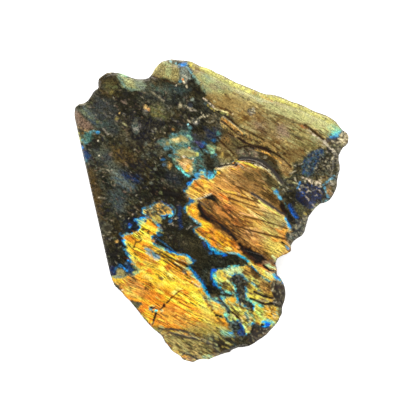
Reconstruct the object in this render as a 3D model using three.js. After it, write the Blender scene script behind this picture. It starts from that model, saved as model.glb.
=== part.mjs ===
// A free-form slab of labradorite, a feldspar rock, lying on its sawn back.
//
// One saw cut made the flat back and another the straight left edge. The rest of the rim is
// broken rock, and the upper face is ground and polished over its hollows, so fracture
// ledges, cracks, pits and a crust of raw crystal are left in it. The stone is one piece.
//
// Frame: millimetres, +X across the slab, +Y along it, +Z up out of the polished face. The
// origin is on the sawn back, under the middle of the slab's bounding box.

import * as THREE from "three";

// ---------------------------------------------------------------------------------------
// Driving dimensions
// ---------------------------------------------------------------------------------------

const THICKNESS = 20; // sawn back to the crown of the polished face
const CROWN_DROP = 0.9; // the polish falls away this much from the crown to the ends
const ROLLING = 0.28; // height of the gentle waves that hand polishing leaves
const ROLLING_LENGTH = 31; // and their length

const RIM_STEP = 2.7; // spacing of the rim's vertices
const FACE_STEP = 4.1; // spacing of the polished face's vertices where it is plain
const LEDGE_STEP = 1.9; // spacing along ledges and cracks
const CRUST_STEP = 2.1; // spacing where raw crystal stands up
const BACK_STEP = 14; // spacing on the sawn back
const LEDGE_RUN = 0.32; // plan width of a ledge's steep face
const CLEARANCE = 0.62; // a vertex stays this share of its spacing away from the others

// The slab's outline, counter-clockwise from the top of the sawn edge, in stretches that
// broke or were worked alike. points are on the widest line of the wall. For each stretch:
//   lip       how far the upper face stops short of that widest line
//   roll      width of the band where the face rounds down to the edge, and drop, its fall
//   undercut  how far the wall draws in again at the back
//   rough     depth of the fracture relief on the wall and on the rolled band
const SAWN_EDGE = {
  points: [[-68.5, 46], [-50.6, -32.5]],
  lip: 0.3, roll: 0.9, drop: 0.45, undercut: 0.2, rough: 0,
};
const BROKEN_STRETCHES = [
  { // lower left: a steep break, a little wider than the face all the way down
    points: [
      [-50.1, -34.5], [-49.4, -36.8], [-47.6, -39], [-45.6, -40.5], [-43.6, -43.5],
      [-41.4, -45], [-39.6, -47.2], [-37.4, -50.2], [-35.1, -53], [-31.1, -57.5],
      [-26.6, -62], [-25.1, -63.8], [-24.4, -66], [-22.6, -67.8], [-21.6, -69.8],
      [-19.9, -71], [-17.1, -72.2], [-15.4, -73.8], [-14.1, -75],
    ],
    lip: 1.1, roll: 1.4, drop: 0.7, undercut: 2.2, rough: 1.9,
  },
  { // foot: thin flakes have sprung off both faces
    points: [
      [-11.1, -75.4], [-9.1, -76], [-7.1, -74.8], [-5.1, -74.4], [-2.1, -74.8],
      [0.4, -73.6], [3.9, -72.7], [7.4, -71.8], [9.9, -70.6], [11.9, -68.9],
      [15.4, -68.5], [18.9, -67.7],
    ],
    lip: 0.7, roll: 2.2, drop: 1.2, undercut: 2.8, rough: 1.9,
  },
  { // lower right: one rounded bulge
    points: [
      [20.9, -66.6], [23.9, -64.5], [27.4, -62.4], [29.9, -60.1], [31.6, -57.8],
      [33.4, -55.8], [34, -53.8], [35.2, -51.5], [35, -49.5], [35.5, -47.5],
      [36.7, -45.5], [37.3, -42], [36.5, -38], [35.7, -35.8], [34.5, -34], [32.1, -31.5],
    ],
    lip: 1, roll: 2.6, drop: 1.5, undercut: 2.4, rough: 1.8,
  },
  { // notch, where a wedge has dropped out
    points: [
      [32.4, -29.8], [31.7, -28], [31.5, -26.2], [32, -24.5], [33.5, -23.3],
      [35.4, -22.5], [37.6, -21.8], [39.7, -20.5],
    ],
    lip: 0.5, roll: 1, drop: 0.6, undercut: 1.6, rough: 1,
  },
  { // right: raw crystal breaks through the polish down a stepped slope
    points: [
      [39.3, -18.2], [39.2, -17.2], [41.9, -15.1], [43.9, -13.8], [45.9, -12.8],
      [46.8, -10], [47.5, -7], [49, -3], [51.1, 0.2], [54.2, 3], [56.1, 3],
      [58, 4.2], [59.5, 5.8], [60.8, 8], [62, 10.5], [62.5, 13], [62.3, 15.5],
      [63, 17.5], [64, 19], [64.2, 21.5], [64, 23.5], [63.3, 26], [64, 28], [64.9, 29.7],
    ],
    lip: 1.2, roll: 4.2, drop: 2.2, undercut: 2.6, rough: 2.2,
  },
  { // knob of crust at the upper right corner
    points: [
      [66.5, 30.9], [68, 33], [68.75, 35.5], [68.1, 38], [66.5, 39.3], [65.3, 39.8],
    ],
    lip: 0.8, roll: 3.4, drop: 2.4, undercut: 1.4, rough: 1.4,
  },
  { // top: the polish runs over a rounded shoulder down to the break
    points: [
      [64.4, 41.2], [63.1, 43], [61.9, 44.5], [58.9, 46.5], [54.9, 48.5], [50.9, 49.9],
      [46.9, 51.9], [42.4, 53.9], [37.9, 55.1], [33.9, 56.9], [29.9, 57.9], [25.4, 58.1],
      [20.9, 60], [12.9, 63.4], [5.9, 67.1], [2.4, 68.6], [-0.6, 70.5], [-3.1, 71.5],
      [-6.4, 72], [-8.1, 73.4], [-11.1, 74.7], [-14.6, 75.3], [-18.1, 75.5],
      [-20.6, 76], [-22.6, 75.5], [-25.1, 74.8], [-26.9, 73.3], [-28.1, 71.3],
      [-29.4, 69.6], [-30, 68],
    ],
    lip: 0.7, roll: 5.2, drop: 2.6, undercut: 1.8, rough: 1.4,
  },
  { // upper left: shell-shaped bites
    points: [
      [-30.6, 66.8], [-32.1, 65.8], [-34.1, 65.5], [-37.1, 65.5], [-39.6, 66.1],
      [-42.1, 67.3], [-44.6, 68.5], [-47.1, 69], [-50.1, 69.2], [-52.1, 69],
      [-54.1, 68.1], [-55.6, 66.9], [-57, 65.8], [-57.7, 64.8], [-57.1, 62.5],
      [-56.8, 61], [-58.1, 60], [-59.6, 59.1], [-60.6, 56.9], [-61.7, 55.1],
      [-63.1, 53.7], [-65.6, 53.5], [-67.4, 53.1], [-68.4, 52], [-68.75, 49],
    ],
    lip: 0.8, roll: 2, drop: 1.1, undercut: 2.4, rough: 1.5,
  },
];

// The wall from the back up: each ring's share of the wall's height, and how much of the
// stretch's undercut, lip and fracture relief it has. The outline is the ring with none.
const WALL_RINGS = [
  { height: 0, undercut: 1, lip: 0, rough: 0.3 },
  { height: 0.07, undercut: 0.66, lip: 0, rough: 0.8 },
  { height: 0.19, undercut: 0.42, lip: 0, rough: 1 },
  { height: 0.33, undercut: 0.18, lip: 0, rough: 1 },
  { height: 0.48, undercut: 0.05, lip: 0, rough: 0.6 },
  { height: 0.62, undercut: 0, lip: 0, rough: 0 },
  { height: 0.77, undercut: 0, lip: 0.25, rough: 0.7 },
  { height: 0.91, undercut: 0, lip: 0.65, rough: 0.5 },
];
const RING_SWAY = 1.5; // how far a ring on the broken wall strays up and down
const BREAK_LUMP = 7.5; // size of the lumps left on a broken face
const BREAK_STEPS = 3; // and the number of cleavage steps from their feet to their tops

// Fracture ledges. The stone is low by step on one side of the line, at the line, and comes
// back to the polish over fade. low is the side, seen along the line from its first point.
const LEDGES = [
  { // arched ledge above the great flash
    line: [
      [1.9, 19.8], [6.9, 21.5], [11.7, 21.4], [12.2, 24], [16.4, 25], [21.4, 23.8],
      [25.4, 21.8], [29.4, 18.5], [32.4, 15], [34.6, 12.3],
    ],
    low: "left", step: 1.1, fade: 6.5,
  },
  { // two steps that part the shoulder's sheen from the dark rock
    line: [[-4.6, 55.5], [-1.6, 52.8], [1.4, 50.6], [4.9, 49.3], [7.9, 47.3]],
    low: "right", step: 0.8, fade: 5,
  },
  {
    line: [[3.4, 46.5], [6.4, 45.4], [9.4, 42.5], [11.9, 40], [14.9, 37.8]],
    low: "right", step: 0.8, fade: 6,
  },
  { // lit edge under the shoulder's sheen
    line: [[16.9, 31.5], [26.4, 29], [32.2, 25.8], [36.4, 21.5]],
    low: "left", step: 0.45, fade: 3.5,
  },
  { // edge of the great flash, towards the notch
    line: [[17.4, 10], [21.9, 6.5], [25.9, 3.5], [31.4, 0.3], [35.4, -3], [37.9, -6.5]],
    low: "left", step: 0.7, fade: 5,
  },
  { // torn lip in the middle of the great flash
    line: [[-7.6, 5.2], [-4.6, 6.3], [-2.6, 6.5], [-0.6, 8.3]],
    low: "right", step: 0.8, fade: 4.5,
  },
  { // wedge of dark fracture above the notch
    line: [[13.9, -19.5], [19.4, -21], [24.9, -22.5], [30.4, -26]],
    low: "right", step: 0.6, fade: 3,
  },
  { // seam across the foot, below which the face sits lower
    line: [
      [-28.4, -59], [-24.6, -60.3], [-21.1, -61], [-14.6, -62.3], [-7.6, -63.8],
      [-2.6, -65.3], [1.9, -67.5],
    ],
    low: "right", step: 0.8, fade: 9,
  },
  { // flake scar at the very foot
    line: [[-15.9, -70.6], [-11.1, -71.2], [-8.6, -72.4], [-6.9, -73.6]],
    low: "left", step: 0.6, fade: 2.5,
  },
];

// Cracks: grooves of this depth and half width along a line.
const CRACKS = [
  { // open joint that parts the corner knob from the shoulder
    line: [[46.9, 40.8], [50.4, 38.5], [53.9, 35.5], [57.4, 32.5], [60.4, 29]],
    depth: 0.9, half: 0.7,
  },
  { // hairline that bounds the lower flash on its left
    line: [
      [-29.9, -57.5], [-28.6, -53.5], [-27.4, -50.8], [-24.4, -47.5], [-18.6, -42.3],
      [-16.1, -39.5],
    ],
    depth: 0.5, half: 0.5,
  },
  { // long fracture down the lower flash's right side, healed in its middle
    line: [[-27.6, -20.5], [-22.6, -24.5], [-17.6, -28], [-13.6, -30.8]],
    depth: 0.6, half: 0.6,
  },
  {
    line: [[-13.1, -35], [-8.1, -38], [-4.6, -41.5], [-1.6, -46.5], [1.9, -51], [4.9, -53]],
    depth: 0.5, half: 0.5,
  },
  { // short joints that run out through the rim below the notch
    line: [[24.9, -28], [28.9, -30.5], [31.9, -32.5]],
    depth: 0.8, half: 0.6,
  },
  {
    line: [[18.9, -40.5], [24.9, -42.8], [30.4, -45], [35.4, -47.5]],
    depth: 0.7, half: 0.6,
  },
];

// Pits that the polish never reached: centre, radius and depth.
const PITS = [
  { at: [19.6, 49], radius: 1.2, depth: 0.8 },
  { at: [-29.4, -49], radius: 1.5, depth: 0.9 },
  { at: [-13.6, -30.8], radius: 1.2, depth: 0.6 },
  { at: [-3.4, -43.6], radius: 1.1, depth: 0.6 },
  { at: [-32.6, 50.4], radius: 1.6, depth: 0.8 },
  { at: [-37.6, 41.8], radius: 2.6, depth: 0.9 },
  { at: [-8.1, 44.5], radius: 2.2, depth: 0.9 },
  { at: [-13.6, 64.6], radius: 1.8, depth: 0.7 },
  { at: [-27.6, -13.6], radius: 1.3, depth: 0.6 },
  { at: [4.4, -24.6], radius: 1.8, depth: 0.6 },
  { at: [30.4, -44.8], radius: 1.3, depth: 0.6 },
];

// Patches where raw crystal stands in lumps through the polish: centre, radius and height.
const CRUSTS = [
  { at: [52.4, 9], radius: 9.5, height: 0.9 },
  { at: [45.9, -8.6], radius: 6, height: 0.9 },
  { at: [64, 35], radius: 6.5, height: 0.9 },
  { at: [22, -62], radius: 6, height: 0.6 },
];
const CRUST_GRAIN = 2.6; // size of one lump

// ---------------------------------------------------------------------------------------
// Helpers: noise and plane geometry
// ---------------------------------------------------------------------------------------

const mix = (a, b, t) => a + (b - a) * t;
const ease = (t) => t * t * (3 - 2 * t);
const clamp01 = (t) => Math.min(1, Math.max(0, t));

// A repeatable scatter from 0 to 1 for each point of a whole-number lattice.
function scatter(i, j, k) {
  const s = Math.sin(i * 127.1 + j * 311.7 + k * 74.7) * 43758.5453;
  return s - Math.floor(s);
}

// Smooth noise from -1 to 1, with features about one unit across.
function noise(x, y, z) {
  const [i, j, k] = [Math.floor(x), Math.floor(y), Math.floor(z)];
  const [u, v, w] = [ease(x - i), ease(y - j), ease(z - k)];
  const row = (dj, dk) => mix(scatter(i, j + dj, k + dk), scatter(i + 1, j + dj, k + dk), u);
  return 2 * mix(mix(row(0, 0), row(1, 0), v), mix(row(0, 1), row(1, 1), v), w) - 1;
}

// Depth of a broken face at a point, from 0 to 1. Feldspar parts along flat cleavages, so
// its lumps rise in steps.
function breakRelief(x, y, z) {
  const lump = 0.5 + 0.55 * noise(x / BREAK_LUMP, y / BREAK_LUMP, z / BREAK_LUMP + 4);
  const flight = clamp01(lump + 0.1 * noise(x / 2, y / 2, z / 2.4 + 20)) * BREAK_STEPS;
  const tread = Math.floor(flight);
  return (tread + ease(clamp01((flight - tread - 0.35) / 0.3))) / BREAK_STEPS;
}

// Where the point (x, y) lies against an open line: its distance, which side it is on
// (+1 left, -1 right) and the share of the line's length passed at the nearest place.
function besideLine(line, x, y) {
  let best = { distance: Infinity };
  let passed = 0;
  for (let i = 0; i + 1 < line.length; i++) {
    const [[ax, ay], [bx, by]] = [line[i], line[i + 1]];
    const [dx, dy] = [bx - ax, by - ay];
    const length = Math.hypot(dx, dy);
    const t = clamp01(((x - ax) * dx + (y - ay) * dy) / (length * length));
    const distance = Math.hypot(x - ax - t * dx, y - ay - t * dy);
    if (distance < best.distance) {
      const side = dx * (y - ay) - dy * (x - ax) >= 0 ? 1 : -1;
      best = { distance, side, passed: passed + t * length };
    }
    passed += length;
  }
  return { ...best, share: best.passed / passed };
}

// Points at equal steps along an open line, with the line's left-hand normal at each.
function alongLine(line, step) {
  const curve = new THREE.CurvePath();
  for (let i = 0; i + 1 < line.length; i++) {
    curve.add(new THREE.LineCurve(new THREE.Vector2(...line[i]), new THREE.Vector2(...line[i + 1])));
  }
  const count = Math.max(2, Math.round(curve.getLength() / step));
  return Array.from({ length: count + 1 }, (_, i) => {
    const at = curve.getPointAt(i / count);
    const tangent = curve.getTangentAt(i / count);
    return { at, normal: new THREE.Vector2(-tangent.y, tangent.x) };
  });
}

function insidePolygon(polygon, x, y) {
  let inside = false;
  for (let i = 0, j = polygon.length - 1; i < polygon.length; j = i++) {
    const [a, b] = [polygon[i], polygon[j]];
    if (a.y > y !== b.y > y && x < a.x + ((b.x - a.x) * (y - a.y)) / (b.y - a.y)) inside = !inside;
  }
  return inside;
}

// Delaunay triangles of points in the plane, as counter-clockwise index triples, by adding
// one point at a time and re-joining the hole that it opens.
function delaunay(points) {
  const FAR = 1e4;
  const all = [...points, { x: -FAR, y: -FAR }, { x: FAR, y: -FAR }, { x: 0, y: FAR }];
  const circled = (a, b, c) => {
    const [p, q, r] = [all[a], all[b], all[c]];
    const d = 2 * ((q.x - p.x) * (r.y - p.y) - (q.y - p.y) * (r.x - p.x));
    const qq = (q.x - p.x) ** 2 + (q.y - p.y) ** 2;
    const rr = (r.x - p.x) ** 2 + (r.y - p.y) ** 2;
    const x = ((r.y - p.y) * qq - (q.y - p.y) * rr) / d;
    const y = ((q.x - p.x) * rr - (r.x - p.x) * qq) / d;
    return { corners: [a, b, c], x: p.x + x, y: p.y + y, r2: x * x + y * y };
  };
  let triangles = [circled(points.length, points.length + 1, points.length + 2)];
  points.forEach((point, index) => {
    const border = new Map();
    const kept = [];
    for (const t of triangles) {
      if ((point.x - t.x) ** 2 + (point.y - t.y) ** 2 >= t.r2) {
        kept.push(t);
        continue;
      }
      for (const [a, b] of [[0, 1], [1, 2], [2, 0]].map((e) => e.map((k) => t.corners[k]))) {
        if (!border.delete(`${b},${a}`)) border.set(`${a},${b}`, [a, b]);
      }
    }
    for (const [a, b] of border.values()) kept.push(circled(a, b, index));
    triangles = kept;
  });
  return triangles.map((t) => t.corners).filter((corners) => corners.every((k) => k < points.length));
}

// ---------------------------------------------------------------------------------------
// The rim: vertices on the widest line of the wall, each with its stretch's character
// ---------------------------------------------------------------------------------------

const TRAITS = ["lip", "roll", "drop", "undercut", "rough"];

function traceRim() {
  const sawnLine = new THREE.LineCurve3(...SAWN_EDGE.points.map(([x, y]) => new THREE.Vector3(x, y, 0)));
  const knots = [{ point: sawnLine.v2, stretch: SAWN_EDGE }];
  for (const stretch of BROKEN_STRETCHES) {
    for (const [x, y] of stretch.points) knots.push({ point: new THREE.Vector3(x, y, 0), stretch });
  }
  knots.push({ point: sawnLine.v1, stretch: SAWN_EDGE });
  const breakLine = new THREE.CatmullRomCurve3(knots.map((k) => k.point), false, "centripetal");
  breakLine.arcLengthDivisions = 3000;

  const steps = (curve) => Math.round(curve.getLength() / RIM_STEP);
  const closer = (p, a, b) => (b.point.distanceTo(p) < a.point.distanceTo(p) ? b : a);
  const nearest = (p) => knots.reduce((best, knot) => closer(p, best, knot));
  const sawn = sawnLine.getSpacedPoints(steps(sawnLine)).slice(0, -1);
  const broken = breakLine.getSpacedPoints(steps(breakLine)).slice(0, -1);
  const rim = [
    ...sawn.map((p) => ({ x: p.x, y: p.y, ...SAWN_EDGE })),
    ...broken.map((p) => ({ x: p.x, y: p.y, ...nearest(p).stretch })),
  ];

  // The corners of the sawn edge stay crisp, and the broken stretches run into each other.
  const around = (i, reach) => {
    const list = [];
    for (let k = -reach; k <= reach; k++) list.push(rim[(i + k + rim.length) % rim.length]);
    return list;
  };
  const mean = (list, key) => list.reduce((sum, p) => sum + p[key], 0) / list.length;
  return rim.map((p, i) => {
    const near = around(i, 2);
    const [before, after] = [near[0], near[near.length - 1]];
    const inward = new THREE.Vector2(before.y - after.y, after.x - before.x).normalize();
    const vertex = { x: p.x, y: p.y, inward, calm: { x: mean(near, "x"), y: mean(near, "y") } };
    for (const trait of TRAITS) vertex[trait] = p.rough === 0 ? p[trait] : mean(near, trait);
    return vertex;
  });
}

const rim = traceRim();

// A rim vertex moved inwards. Deep insets also leave the outline's small jags behind.
function inset(vertex, depth) {
  const calming = clamp01(depth / 4) * 0.8;
  return {
    x: mix(vertex.x, vertex.calm.x, calming) + vertex.inward.x * depth,
    y: mix(vertex.y, vertex.calm.y, calming) + vertex.inward.y * depth,
  };
}

// ---------------------------------------------------------------------------------------
// The upper face as a height over the plan
// ---------------------------------------------------------------------------------------

const faceEdge = rim.map((vertex) => inset(vertex, vertex.lip));
const REACH = { x: 68.75, y: 76 }; // half the slab's width and length

function polishHeight(x, y) {
  const fromCrown = (x / REACH.x) ** 2 + (y / REACH.y) ** 2;
  const waves = noise(x / ROLLING_LENGTH + 7, y / ROLLING_LENGTH + 3, 0.5);
  return THICKNESS - CROWN_DROP * fromCrown * 0.6 + ROLLING * waves;
}

// How far the face has rounded down near the rim, and how rough it is there.
function rimRoll(x, y) {
  let nearest = { distance: Infinity };
  faceEdge.forEach((p, i) => {
    const q = faceEdge[(i + 1) % faceEdge.length];
    const [dx, dy] = [q.x - p.x, q.y - p.y];
    const t = clamp01(((x - p.x) * dx + (y - p.y) * dy) / (dx * dx + dy * dy));
    const distance = Math.hypot(x - p.x - t * dx, y - p.y - t * dy);
    if (distance < nearest.distance) nearest = { distance, i, t };
  });
  const [a, b] = [rim[nearest.i], rim[(nearest.i + 1) % rim.length]];
  const trait = (key) => mix(a[key], b[key], nearest.t);
  const passed = clamp01(nearest.distance / trait("roll"));
  const fall = trait("drop") * (1 - Math.sqrt(1 - (1 - passed) ** 2));
  const relief = trait("rough") * 0.3 * (1 - ease(passed)) * noise(x / 3.1, y / 3.1, 9);
  return fall + Math.abs(relief);
}

// A ledge is deepest at its line and heals with distance, and along the line to its ends.
function ledgeFall(ledge, x, y) {
  const beside = besideLine(ledge.line, x, y);
  const lowSide = ledge.low === "left" ? 1 : -1;
  const onLow = beside.side === lowSide && beside.distance > LEDGE_RUN * 0.4;
  if (!onLow || beside.distance > 3 * ledge.fade) return 0;
  const ends = Math.sqrt(clamp01(Math.min(beside.share, 1 - beside.share) * 6));
  return ledge.step * ends * Math.exp(-((beside.distance / ledge.fade) ** 2));
}

const crackFall = (crack, x, y) =>
  crack.depth * clamp01(1 - besideLine(crack.line, x, y).distance / crack.half);

const pitFall = (pit, x, y) =>
  pit.depth * clamp01(1 - (Math.hypot(x - pit.at[0], y - pit.at[1]) / pit.radius) ** 2);

function crustRise(crust, x, y) {
  const near = 1 - ease(clamp01(Math.hypot(x - crust.at[0], y - crust.at[1]) / crust.radius));
  return crust.height * near * noise(x / CRUST_GRAIN, y / CRUST_GRAIN, 4.5);
}

function faceHeight(x, y) {
  const total = (list, effect) => list.reduce((sum, item) => sum + effect(item, x, y), 0);
  const falls = total(LEDGES, ledgeFall) + total(CRACKS, crackFall) + total(PITS, pitFall);
  return polishHeight(x, y) - rimRoll(x, y) - falls + total(CRUSTS, crustRise);
}

// Vertices of the upper face: the edge first, then features from the finest to the plain.
function placeFaceVertices() {
  const placed = faceEdge.map(({ x, y }) => ({ x, y }));
  const toEdge = (x, y) => Math.min(...faceEdge.map((p) => Math.hypot(x - p.x, y - p.y)));
  const add = (x, y, spacing, fromEdge = spacing * 0.5) => {
    if (!insidePolygon(faceEdge, x, y) || toEdge(x, y) < fromEdge) return;
    if (placed.every((p) => Math.hypot(x - p.x, y - p.y) >= spacing)) placed.push({ x, y });
  };
  for (const { line } of LEDGES) {
    for (const { at, normal } of alongLine(line, LEDGE_STEP)) {
      for (const offset of [-LEDGE_RUN, LEDGE_RUN]) {
        add(at.x + (normal.x * offset) / 2, at.y + (normal.y * offset) / 2, LEDGE_RUN * 0.9, 0.8);
      }
    }
  }
  for (const { line, half } of CRACKS) {
    for (const { at, normal } of alongLine(line, LEDGE_STEP)) {
      for (const offset of [0, -half, half]) {
        add(at.x + normal.x * offset, at.y + normal.y * offset, half * 0.7, 0.8);
      }
    }
  }
  for (const { at, radius } of PITS) {
    add(at[0], at[1], 0.4);
    for (let i = 0; i < 7; i++) {
      const turn = (i / 7) * 2 * Math.PI;
      for (const share of [0.62, 1.05]) {
        add(at[0] + radius * share * Math.cos(turn), at[1] + radius * share * Math.sin(turn), 0.45);
      }
    }
  }
  for (const vertex of rim) {
    const rows = vertex.roll < 1.5 ? [1] : [0.42, 1];
    for (const share of rows) {
      const { x, y } = inset(vertex, vertex.lip + vertex.roll * share);
      add(x, y, RIM_STEP * 0.4, 0.45);
    }
  }
  const fill = (step, wanted) => {
    const rowHeight = step * Math.sqrt(0.75);
    for (let row = 0, y = -REACH.y; y < REACH.y; row++, y += rowHeight) {
      for (let x = -REACH.x + (row % 2) * step * 0.5; x < REACH.x; x += step) {
        const [jx, jy] = [scatter(row, x, 1) - 0.5, scatter(row, x, 2) - 0.5];
        if (wanted(x, y)) add(x + jx * step * 0.25, y + jy * step * 0.25, step * CLEARANCE);
      }
    }
  };
  fill(CRUST_STEP, (x, y) => CRUSTS.some((c) => Math.hypot(x - c.at[0], y - c.at[1]) < c.radius));
  fill(FACE_STEP, () => true);
  return placed;
}

// ---------------------------------------------------------------------------------------
// The solid: upper face, wall rings and sawn back as one closed surface
// ---------------------------------------------------------------------------------------

function buildSlab() {
  const vertices = [];
  const faces = [];
  const addVertex = (x, y, z) => vertices.push(x, y, z) / 3 - 1;

  // Triangles of a flat set of vertices that lie inside its edge.
  const cover = (flat, edge) =>
    delaunay(flat).filter((corners) => {
      const middle = (key) => corners.reduce((sum, k) => sum + flat[k][key], 0) / 3;
      return insidePolygon(edge, middle("x"), middle("y"));
    });

  // Upper face. Its first vertices are the rim's, in order.
  const top = placeFaceVertices();
  const heights = top.map(({ x, y }) => faceHeight(x, y));
  const lift = THICKNESS - Math.max(...heights);
  top.forEach(({ x, y }, i) => addVertex(x, y, heights[i] + lift));
  faces.push(...cover(top, faceEdge));

  // Wall rings. Fracture relief only draws the wall inwards, so the outline keeps its size.
  const rings = WALL_RINGS.map((ring) =>
    rim.map((vertex, i) => {
      const sway = ring.height > 0 && vertex.rough > 0 ? RING_SWAY * Math.min(1, 8 * ring.height) : 0;
      const strayed = sway * (1 - ring.height) * noise(vertex.x / 9, vertex.y / 9, 30);
      const z = ring.height * (heights[i] + lift) + strayed;
      const relief = vertex.rough * ring.rough * breakRelief(vertex.x, vertex.y, z);
      const lean = vertex.undercut * (1 + 0.5 * noise(vertex.x / 19, vertex.y / 19, 40));
      const p = inset(vertex, lean * ring.undercut + vertex.lip * ring.lip + relief);
      return { ...p, index: addVertex(p.x, p.y, z) };
    }),
  );
  const levels = [...rings, rim.map((_, index) => ({ index }))];
  for (let level = 0; level + 1 < levels.length; level++) {
    const [low, high] = [levels[level], levels[level + 1]];
    low.forEach((a, i) => {
      const j = (i + 1) % low.length;
      faces.push([a.index, low[j].index, high[j].index], [a.index, high[j].index, high[i].index]);
    });
  }

  // Sawn back, facing down.
  const backEdge = rings[0];
  const back = backEdge.map(({ x, y }) => ({ x, y }));
  const backIndex = backEdge.map((p) => p.index);
  for (let y = -REACH.y; y < REACH.y; y += BACK_STEP) {
    for (let x = -REACH.x; x < REACH.x; x += BACK_STEP) {
      const at = { x: x + scatter(x, y, 5) * 2, y: y + scatter(x, y, 6) * 2 };
      const clear = back.every((p) => Math.hypot(p.x - at.x, p.y - at.y) > BACK_STEP * 0.3);
      if (clear && insidePolygon(backEdge, at.x, at.y)) {
        back.push(at);
        backIndex.push(addVertex(at.x, at.y, 0));
      }
    }
  }
  faces.push(...cover(back, backEdge).map(([a, b, c]) => [backIndex[a], backIndex[c], backIndex[b]]));

  const geometry = new THREE.BufferGeometry();
  geometry.setAttribute("position", new THREE.Float32BufferAttribute(vertices, 3));
  geometry.setIndex(faces.flat());
  geometry.computeBoundingBox();
  const middle = geometry.boundingBox.getCenter(new THREE.Vector3());
  geometry.translate(-middle.x, -middle.y, 0);
  geometry.computeVertexNormals();
  return geometry;
}

const stone = new THREE.MeshStandardMaterial({ color: 0x4b4536, roughness: 0.28, metalness: 0 });
const slab = new THREE.Mesh(buildSlab(), stone);
slab.name = "labradorite_slab";

const part = new THREE.Group();
part.add(slab);

export default part;
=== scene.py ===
import math

import bpy
import numpy as np
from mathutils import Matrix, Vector
from mathutils.kdtree import KDTree


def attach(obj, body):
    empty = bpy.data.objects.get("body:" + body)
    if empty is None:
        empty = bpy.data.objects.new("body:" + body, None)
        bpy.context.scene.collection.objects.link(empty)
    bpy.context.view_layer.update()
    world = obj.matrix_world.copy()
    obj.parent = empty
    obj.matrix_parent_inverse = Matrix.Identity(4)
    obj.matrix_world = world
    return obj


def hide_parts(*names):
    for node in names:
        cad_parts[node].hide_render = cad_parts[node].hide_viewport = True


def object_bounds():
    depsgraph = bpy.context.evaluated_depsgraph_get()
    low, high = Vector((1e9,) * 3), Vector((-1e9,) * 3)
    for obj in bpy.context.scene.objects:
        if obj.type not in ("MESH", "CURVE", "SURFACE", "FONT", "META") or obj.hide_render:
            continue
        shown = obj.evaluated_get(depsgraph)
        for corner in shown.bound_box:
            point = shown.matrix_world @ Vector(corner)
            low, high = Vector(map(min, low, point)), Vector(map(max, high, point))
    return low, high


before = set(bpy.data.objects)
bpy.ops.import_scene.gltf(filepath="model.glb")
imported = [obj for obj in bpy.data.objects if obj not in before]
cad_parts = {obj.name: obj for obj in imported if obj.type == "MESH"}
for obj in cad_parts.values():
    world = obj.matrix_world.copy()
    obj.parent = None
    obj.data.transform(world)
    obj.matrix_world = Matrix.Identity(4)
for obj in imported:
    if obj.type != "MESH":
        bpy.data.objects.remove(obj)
cad_low, cad_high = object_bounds()
cad_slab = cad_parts["labradorite_slab"]

# ---------------------------------------------------------------------------------------
# Studio: the slab lies on white card and is looked at from straight above, with a lens
# long enough that its walls hide under the polished face. The overhead is kept dark, so
# that the polish mirrors nothing, and soft light comes in low from all sides.
# ---------------------------------------------------------------------------------------

LENS = 200.0
SENSOR = 36.0
VIEW_WIDTH = 0.2074
RIM_HEIGHT = 0.0145
VIEW_CENTRE = (-0.00212, 0.001)
CARD_SIZE = 4.0
CARD_WHITE = (0.93, 0.93, 0.93, 1.0)
CARD_GLOW = 0.5
ROOM_LIGHT = (1.0, 0.98, 0.94, 1.0)
ROOM_STRENGTH = 0.12

bpy.ops.object.select_all(action="DESELECT")
bpy.ops.object.camera_add(
    location=(*VIEW_CENTRE, RIM_HEIGHT + VIEW_WIDTH * LENS / SENSOR), rotation=(0, 0, 0)
)
camera = bpy.context.object
camera.data.lens = LENS
camera.data.sensor_width = SENSOR
camera.data.clip_start = 0.01
bpy.context.scene.camera = camera

bpy.ops.mesh.primitive_plane_add(size=CARD_SIZE, location=(0, 0, 0))
floor = bpy.context.object
floor.name = "floor"
card = bpy.data.materials.new("white_card")
card.use_nodes = True
card_shader = card.node_tree.nodes["Principled BSDF"]
card_shader.inputs["Base Color"].default_value = CARD_WHITE
card_shader.inputs["Roughness"].default_value = 0.9
card_shader.inputs["Emission Color"].default_value = CARD_WHITE
card_shader.inputs["Emission Strength"].default_value = CARD_GLOW
floor.data.materials.append(card)


def add_softbox(name, place, size, watts):
    # a rectangle of soft light that faces the middle of the card
    bpy.ops.object.light_add(type="AREA", location=place)
    softbox = bpy.context.object
    softbox.name = name
    softbox.rotation_euler = (-Vector(place)).to_track_quat("-Z", "Y").to_euler()
    softbox.data.shape = "RECTANGLE"
    softbox.data.size, softbox.data.size_y = size
    softbox.data.energy = watts


add_softbox("key_softbox", (0.1, 0.75, 0.75), (1.0, 0.6), 11)
add_softbox("left_softbox", (-0.8, 0.1, 0.6), (0.6, 0.8), 5.5)
add_softbox("right_softbox", (0.8, -0.1, 0.6), (0.6, 0.8), 5.5)
add_softbox("front_softbox", (-0.1, -0.8, 0.6), (0.8, 0.6), 5)

room = bpy.data.worlds.new("room")
room.use_nodes = True
background = room.node_tree.nodes["Background"]
background.inputs["Color"].default_value = ROOM_LIGHT
background.inputs["Strength"].default_value = ROOM_STRENGTH
bpy.context.scene.world = room
bpy.context.scene.view_settings.view_transform = "Standard"

# ---------------------------------------------------------------------------------------
# Slab: one piece of labradorite. Its back and left side are sawn flat, its other sides
# are broken rock, and its upper face is polished over whatever hollows the break left.
# ---------------------------------------------------------------------------------------

VOXEL = 0.00043
BACK_BAND = 0.0003
MERGE_GAP = 1e-6
MILLIMETRES = 1000.0

bpy.ops.object.select_all(action="DESELECT")
cad_slab.select_set(True)
bpy.context.view_layer.objects.active = cad_slab
bpy.ops.object.duplicate()
slab = bpy.context.object
slab.name = "labradorite_slab_stone"
slab.parent = None
bpy.ops.object.mode_set(mode="EDIT")
bpy.ops.mesh.select_all(action="SELECT")
bpy.ops.mesh.remove_doubles(threshold=MERGE_GAP)
bpy.ops.object.mode_set(mode="OBJECT")


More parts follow.
